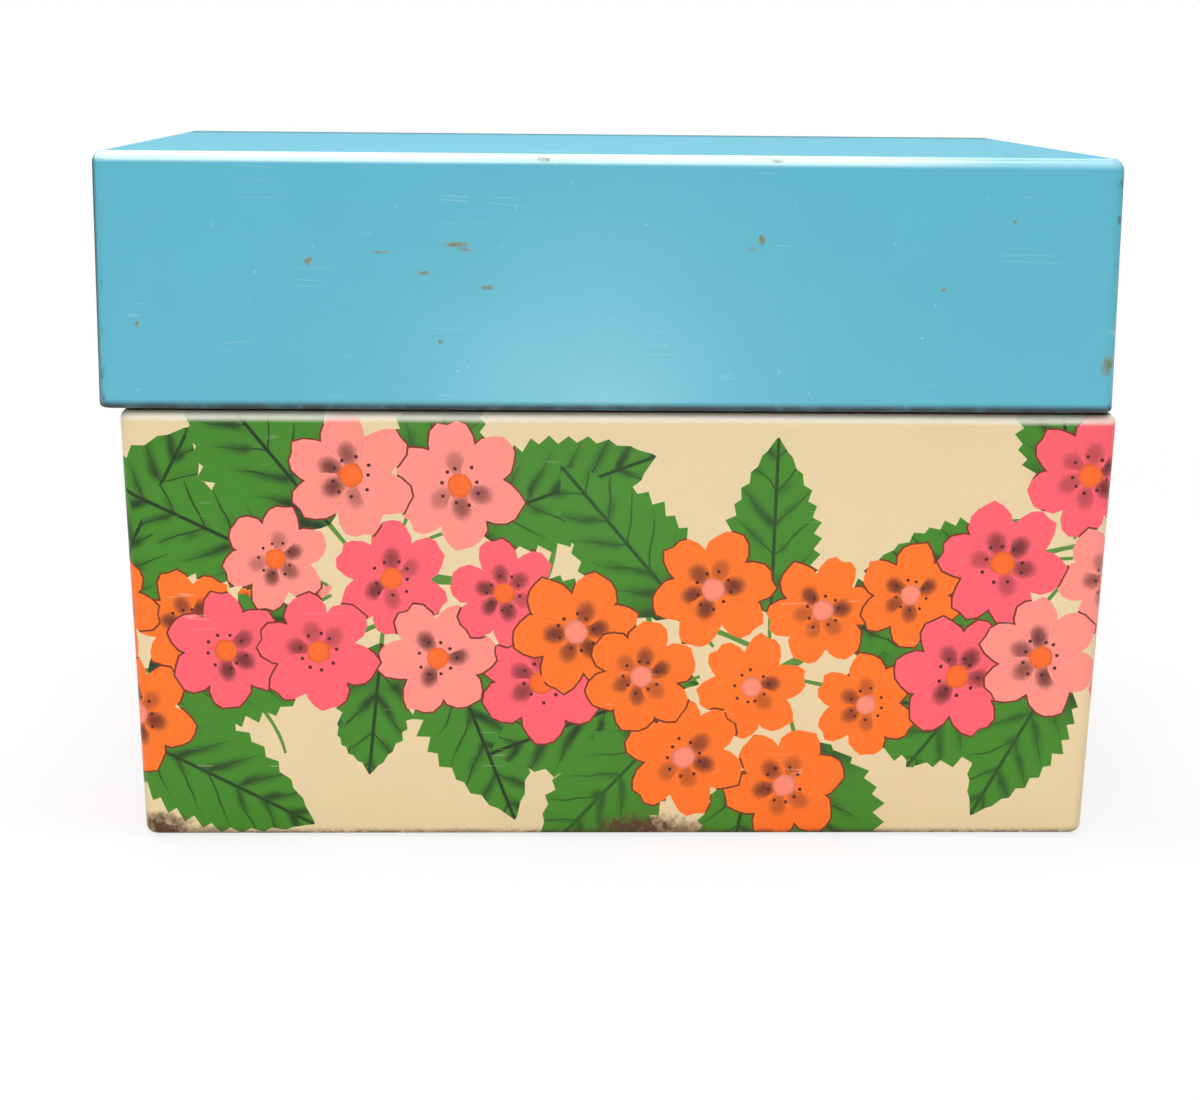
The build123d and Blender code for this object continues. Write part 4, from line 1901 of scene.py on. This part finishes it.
    def _strip(self, maker: MeshMaker, ring: Ring, section: Section, start: float, end: float,
               bake_map: LidBakeMap) -> None:
        """Add the faces between two upright lines, all the way along the section.

        Args:
            maker: where the faces go.
            ring: the way round the lid.
            section: the section here.
            start: the first line.
            end: the second line.
            bake_map: the baked picture's layout.
        """
        shift = ring.whole if (start + end) / 2 > ring.whole / 2 else 0.0
        start, end = start - shift, end - shift
        straights = [band for band in section.bands if not band.bend]
        zero = next(band.low for band in straights if band.start.height >= self.notch_top - ROUND_OFF)
        inner_zero = next(band.high for band in reversed(straights) if band.side is Side.INSIDE
                          and abs(band.end.height - self.notch_top) < ROUND_OFF)
        for band in section.bands:
            level_band = not band.bend and abs(math.cos(band.start.tilt)) < ROUND_OFF
            flat = level_band and band.start.height > self.notch_top + 1
            if band.side is Side.OUTSIDE:
                part = LidPart.TOP if flat else LidPart.WALL
                ups = (band.low - zero, band.high - zero)
            else:
                part = LidPart.CEILING if flat else LidPart.LINING
                ups = (inner_zero - band.low, inner_zero - band.high)
            middle = (start + end) / 2
            corners = [self._corner(ring, along, up, level, part, bake_map, middle) for along, up, level in (
                (start, ups[0], band.start), (end, ups[0], band.start),
                (end, ups[1], band.end), (start, ups[1], band.end))]
            maker.add(corners, band.side)

    @staticmethod
    def _corner(ring: Ring, along: float, up: float, level: Level, part: LidPart,
                bake_map: LidBakeMap, across: float) -> Corner:
        """What the mesh holds at one point.

        Args:
            ring: the way round the lid.
            along: millimetres round from the middle of the front.
            up: millimetres along the section from the top of the notches.
            level: the point's level.
            part: the part of the lid.
            bake_map: the baked picture's layout.
            across: the same as along, for the face's middle.

        Returns:
            The corner.
        """
        point, normal = ring.at(along, level)
        spot = (point.x / MM - ring.centre[0], point.y / MM - ring.centre[1])
        return Corner(point, normal, bake_map.place(part, along, up, spot, across))

    def _end(self, maker: MeshMaker, ring: Ring, line: float, feet: tuple[Foot, Foot],
             sections: Mapping[Foot, Section]) -> None:
        """Close the cut metal where one kind of lower edge meets another.

        Args:
            maker: where the face goes.
            ring: the way round the lid.
            line: where they meet.
            feet: the kinds before and after.
            sections: the section of each kind.
        """
        order = [Foot.NOTCH, Foot.PLAIN, Foot.HINGE, Foot.HEM]
        larger = max(feet, key=order.index)
        smaller = min(feet, key=order.index)
        shared = self.notch_top if smaller is Foot.NOTCH else self.hinge_height
        levels = [band.start for band in sections[larger].bands
                  if band.start.height <= shared + ROUND_OFF]
        points = [ring.at(line, level)[0] for level in levels]
        middle = ring.at(line + (2.0 if larger is feet[1] else -2.0), levels[0])[0]
        facing = (points[0] - middle).normalized()
        total = sum((one.cross(two) for one, two in zip(points, [*points[1:], points[0]])), Vector())
        if total.dot(facing) < 0:
            points.reverse()
        normal = total.normalized() * math.copysign(1, total.dot(facing))
        spot = (self.end_bake[0] + 0.004 * len(maker.faces) % 0.05, self.end_bake[1])
        maker.add([Corner(point, normal, spot) for point in points], Side.INSIDE)

    def _laps(self, maker: MeshMaker) -> None:
        """Add the folded laps inside the corners, on the front and back walls.

        Args:
            maker: where the faces go.
        """
        deep = self.reach - self.narrower
        for number, (hand, back) in enumerate(((-1, 0), (1, 0), (-1, 1), (1, 1))):
            wall = self.centre[1] + (deep if back else -deep) + (-self.sheet if back else self.sheet)
            inward = -1.0 if back else 1.0
            far = self.centre[0] + hand * self.corner
            near = far - hand * self.lap_width
            foot, cut = self.lap_foot[back], self.lap_cut
            shape = [(far, foot), (near + hand * cut, foot), (near, foot + cut),
                     (near, self.lap_top - cut), (near + hand * cut, self.lap_top), (far, self.lap_top)]
            if hand * inward < 0:
                shape.reverse()
            outline = [Vector((x, wall, z)) * MM for x, z in shape]
            bake = (self.lap_bake[0] + 0.05 * number, self.lap_bake[1])
            maker.plate(outline, Vector((0, inward * self.sheet, 0)) * MM, bake)


# ---------------------------------------------------------------- studio
@dataclass(frozen=True)
class PhotoCamera:
    """The camera at the photograph's viewpoint."""

    place: tuple[float, float, float] = (-14.08, -368.2, 107.06)
    pitch: float = 0.201
    yaw: float = 0.035
    roll: float = 0.010
    focal_pixels: float = 2383.9
    picture_width: float = 1200.0

    def build(self) -> None:
        """Add the camera and make it the scene's."""
        ahead = Vector((math.sin(self.yaw) * math.cos(self.pitch),
                        math.cos(self.yaw) * math.cos(self.pitch), -math.sin(self.pitch)))
        level = Vector((math.cos(self.yaw), -math.sin(self.yaw), 0.0))
        upward = level.cross(ahead)
        right = level * math.cos(self.roll) + upward * math.sin(self.roll)
        up = upward * math.cos(self.roll) - level * math.sin(self.roll)
        data = bpy.data.cameras.new("photo_camera")
        data.sensor_fit = "HORIZONTAL"
        data.sensor_width = 36.0
        data.lens = self.focal_pixels / self.picture_width * data.sensor_width
        data.clip_start = 0.01
        camera = bpy.data.objects.new("photo_camera", data)
        turn = Matrix((right, up, -ahead)).transposed().to_4x4()
        camera.matrix_world = Matrix.Translation(Vector(self.place) * MM) @ turn
        bpy.context.scene.collection.objects.link(camera)
        bpy.context.scene.camera = camera


@dataclass(frozen=True)
class Softbox:
    """A soft lamp. Places and sizes are in metres."""

    name: str
    place: tuple[float, float, float]
    target: tuple[float, float, float]
    size: tuple[float, float]
    power: float

    def build(self) -> None:
        """Add the lamp."""
        data = bpy.data.lights.new(self.name, "AREA")
        data.shape = "RECTANGLE"
        data.size, data.size_y = self.size
        data.energy = self.power
        lamp = bpy.data.objects.new(self.name, data)
        lamp.location = self.place
        look = Vector(self.target) - Vector(self.place)
        lamp.rotation_euler = look.to_track_quat("-Z", "Y").to_euler()
        bpy.context.scene.collection.objects.link(lamp)


@dataclass(frozen=True)
class Studio:
    """Pale floor, white surroundings and soft lamps."""

    floor_half: float = 6.0
    surround: float = 0.36
    lamps: tuple[Softbox, ...] = (
        Softbox("key_lamp", (-0.25, -1.15, 1.05), (0.0, 0.0, 0.05), (1.1, 0.7), 9.0),
        Softbox("edge_lamp", (-0.03, -0.06, 0.95), (0.0, 0.0, 0.08), (0.6, 0.2), 6.0),
        Softbox("back_lamp", (0.0, 0.9, 1.0), (0.0, 0.0, 0.08), (0.9, 0.5), 3.0),
        Softbox("low_glow", (0.008, -0.42, 0.012), (-0.003, -0.05, 0.066), (0.05, 0.02), 0.06),
    )

    def build(self) -> None:
        """Add the floor, the world and the lamps."""
        for lamp in self.lamps:
            lamp.build()
        self._floor()
        self._world()

    def _floor(self) -> None:
        """Lay the floor, which takes the object's shadow and turns to plain white further out."""
        half = self.floor_half
        mesh = bpy.data.meshes.new("studio_floor")
        mesh.from_pydata([(-half, -half, 0), (half, -half, 0), (half, half, 0), (-half, half, 0)],
                         [], [(0, 1, 2, 3)])
        graph = Graph("studio_floor")
        far = graph.node("ShaderNodeVectorMath", {"operation": "LENGTH"}, {0: graph.place}).outputs[1]
        white = Wire(graph, far).ramp(150.0, 380.0) * 0.22 + 0.78
        path = graph.node("ShaderNodeLightPath").outputs
        seen = white * Wire(graph, path["Is Camera Ray"])
        lit = graph.finish(Base_Color=(0.85, 0.85, 0.85, 1), Roughness=0.9, Specular_IOR_Level=0.1)
        glow = graph.node("ShaderNodeEmission", {}, {"Color": (1, 1, 1, 1), "Strength": 1.0})
        both = graph.node("ShaderNodeMixShader", {}, {
            0: seen, 1: graph.shader.outputs[0], 2: glow.outputs[0]})
        graph.feed(graph.output.inputs["Surface"], both.outputs[0])
        mesh.materials.append(lit)
        floor = bpy.data.objects.new("studio_floor", mesh)
        floor.location = (0, 0, -0.0002)
        bpy.context.scene.collection.objects.link(floor)

    def _world(self) -> None:
        """Surround the scene with white that lights it gently."""
        world = bpy.data.worlds.new("studio_world")
        world.use_nodes = True
        tree = world.node_tree
        tree.nodes.clear()
        path = tree.nodes.new("ShaderNodeLightPath")
        strength = tree.nodes.new("ShaderNodeMapRange")
        strength.inputs["To Min"].default_value = self.surround
        tree.links.new(path.outputs["Is Camera Ray"], strength.inputs["Value"])
        back = tree.nodes.new("ShaderNodeBackground")
        back.inputs["Color"].default_value = (1, 1, 1, 1)
        tree.links.new(strength.outputs[0], back.inputs["Strength"])
        output = tree.nodes.new("ShaderNodeOutputWorld")
        tree.links.new(back.outputs[0], output.inputs[0])
        bpy.context.scene.world = world


# ---------------------------------------------------------------- all together
def dress(node: str, material: bpy.types.Material) -> None:
    """Give a CAD node its finish.

    Args:
        node: the node's name.
        material: its material.
    """
    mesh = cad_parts[node].data
    mesh.materials.clear()
    mesh.materials.append(material)
    LOG.info("dressed %s", node)


def main() -> None:
    """Build the camera, the studio and every piece."""
    logging.basicConfig(level=logging.INFO, format="%(name)s: %(message)s")
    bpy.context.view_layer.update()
    PhotoCamera().build()
    Studio().build()
    scene = bpy.context.scene
    scene.view_settings.view_transform = "Standard"
    wall = BodyWall()
    section = wall.section()
    printed = PrintFinish().material()
    inside = BareMetal("bare_tinplate", paint(186, 184, 176), paint(160, 155, 143), 0.44,
                       (1.0, 1.0, 0.15)).material()
    steel = BareMetal("drawn_steel", paint(150, 148, 142), paint(96, 86, 72), 0.35,
                      (0.1, 1.0, 1.0), 0.62).material()
    garland = Garland(wall.ring().whole, section.bands[0].high, section.bands[0].high + wall.height)
    motifs = garland.motifs()
    LOG.info("the print has %d shapes", len(motifs))
    ring = wall.ring()
    slots = tuple((x - wall.slot_half, x + wall.slot_half) for x in wall.strap_places)
    for half in (PrintedHalf("wall_front_half", 0.0),
                 PrintedHalf("wall_back_half", ring.whole / 2, slots=slots)):
        piece = half.build(motifs, (printed, inside))
        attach(piece, "box")
        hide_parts("body_wall")
        LOG.info("made %s with %d faces", piece.name, len(piece.data.polygons))
    lid = LidShell().build("lid_enamelled", (LidEnamel().material(), inside))
    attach(lid, "lid")
    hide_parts("lid_shell")
    LOG.info("made %s with %d faces", lid.name, len(lid.data.polygons))
    dress("body_floor", inside)
    dress("hinge_wire", steel)
    dress("hinge_strap_left", inside)
    dress("hinge_strap_right", inside)
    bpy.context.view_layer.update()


if __name__ == "__main__":
    main()
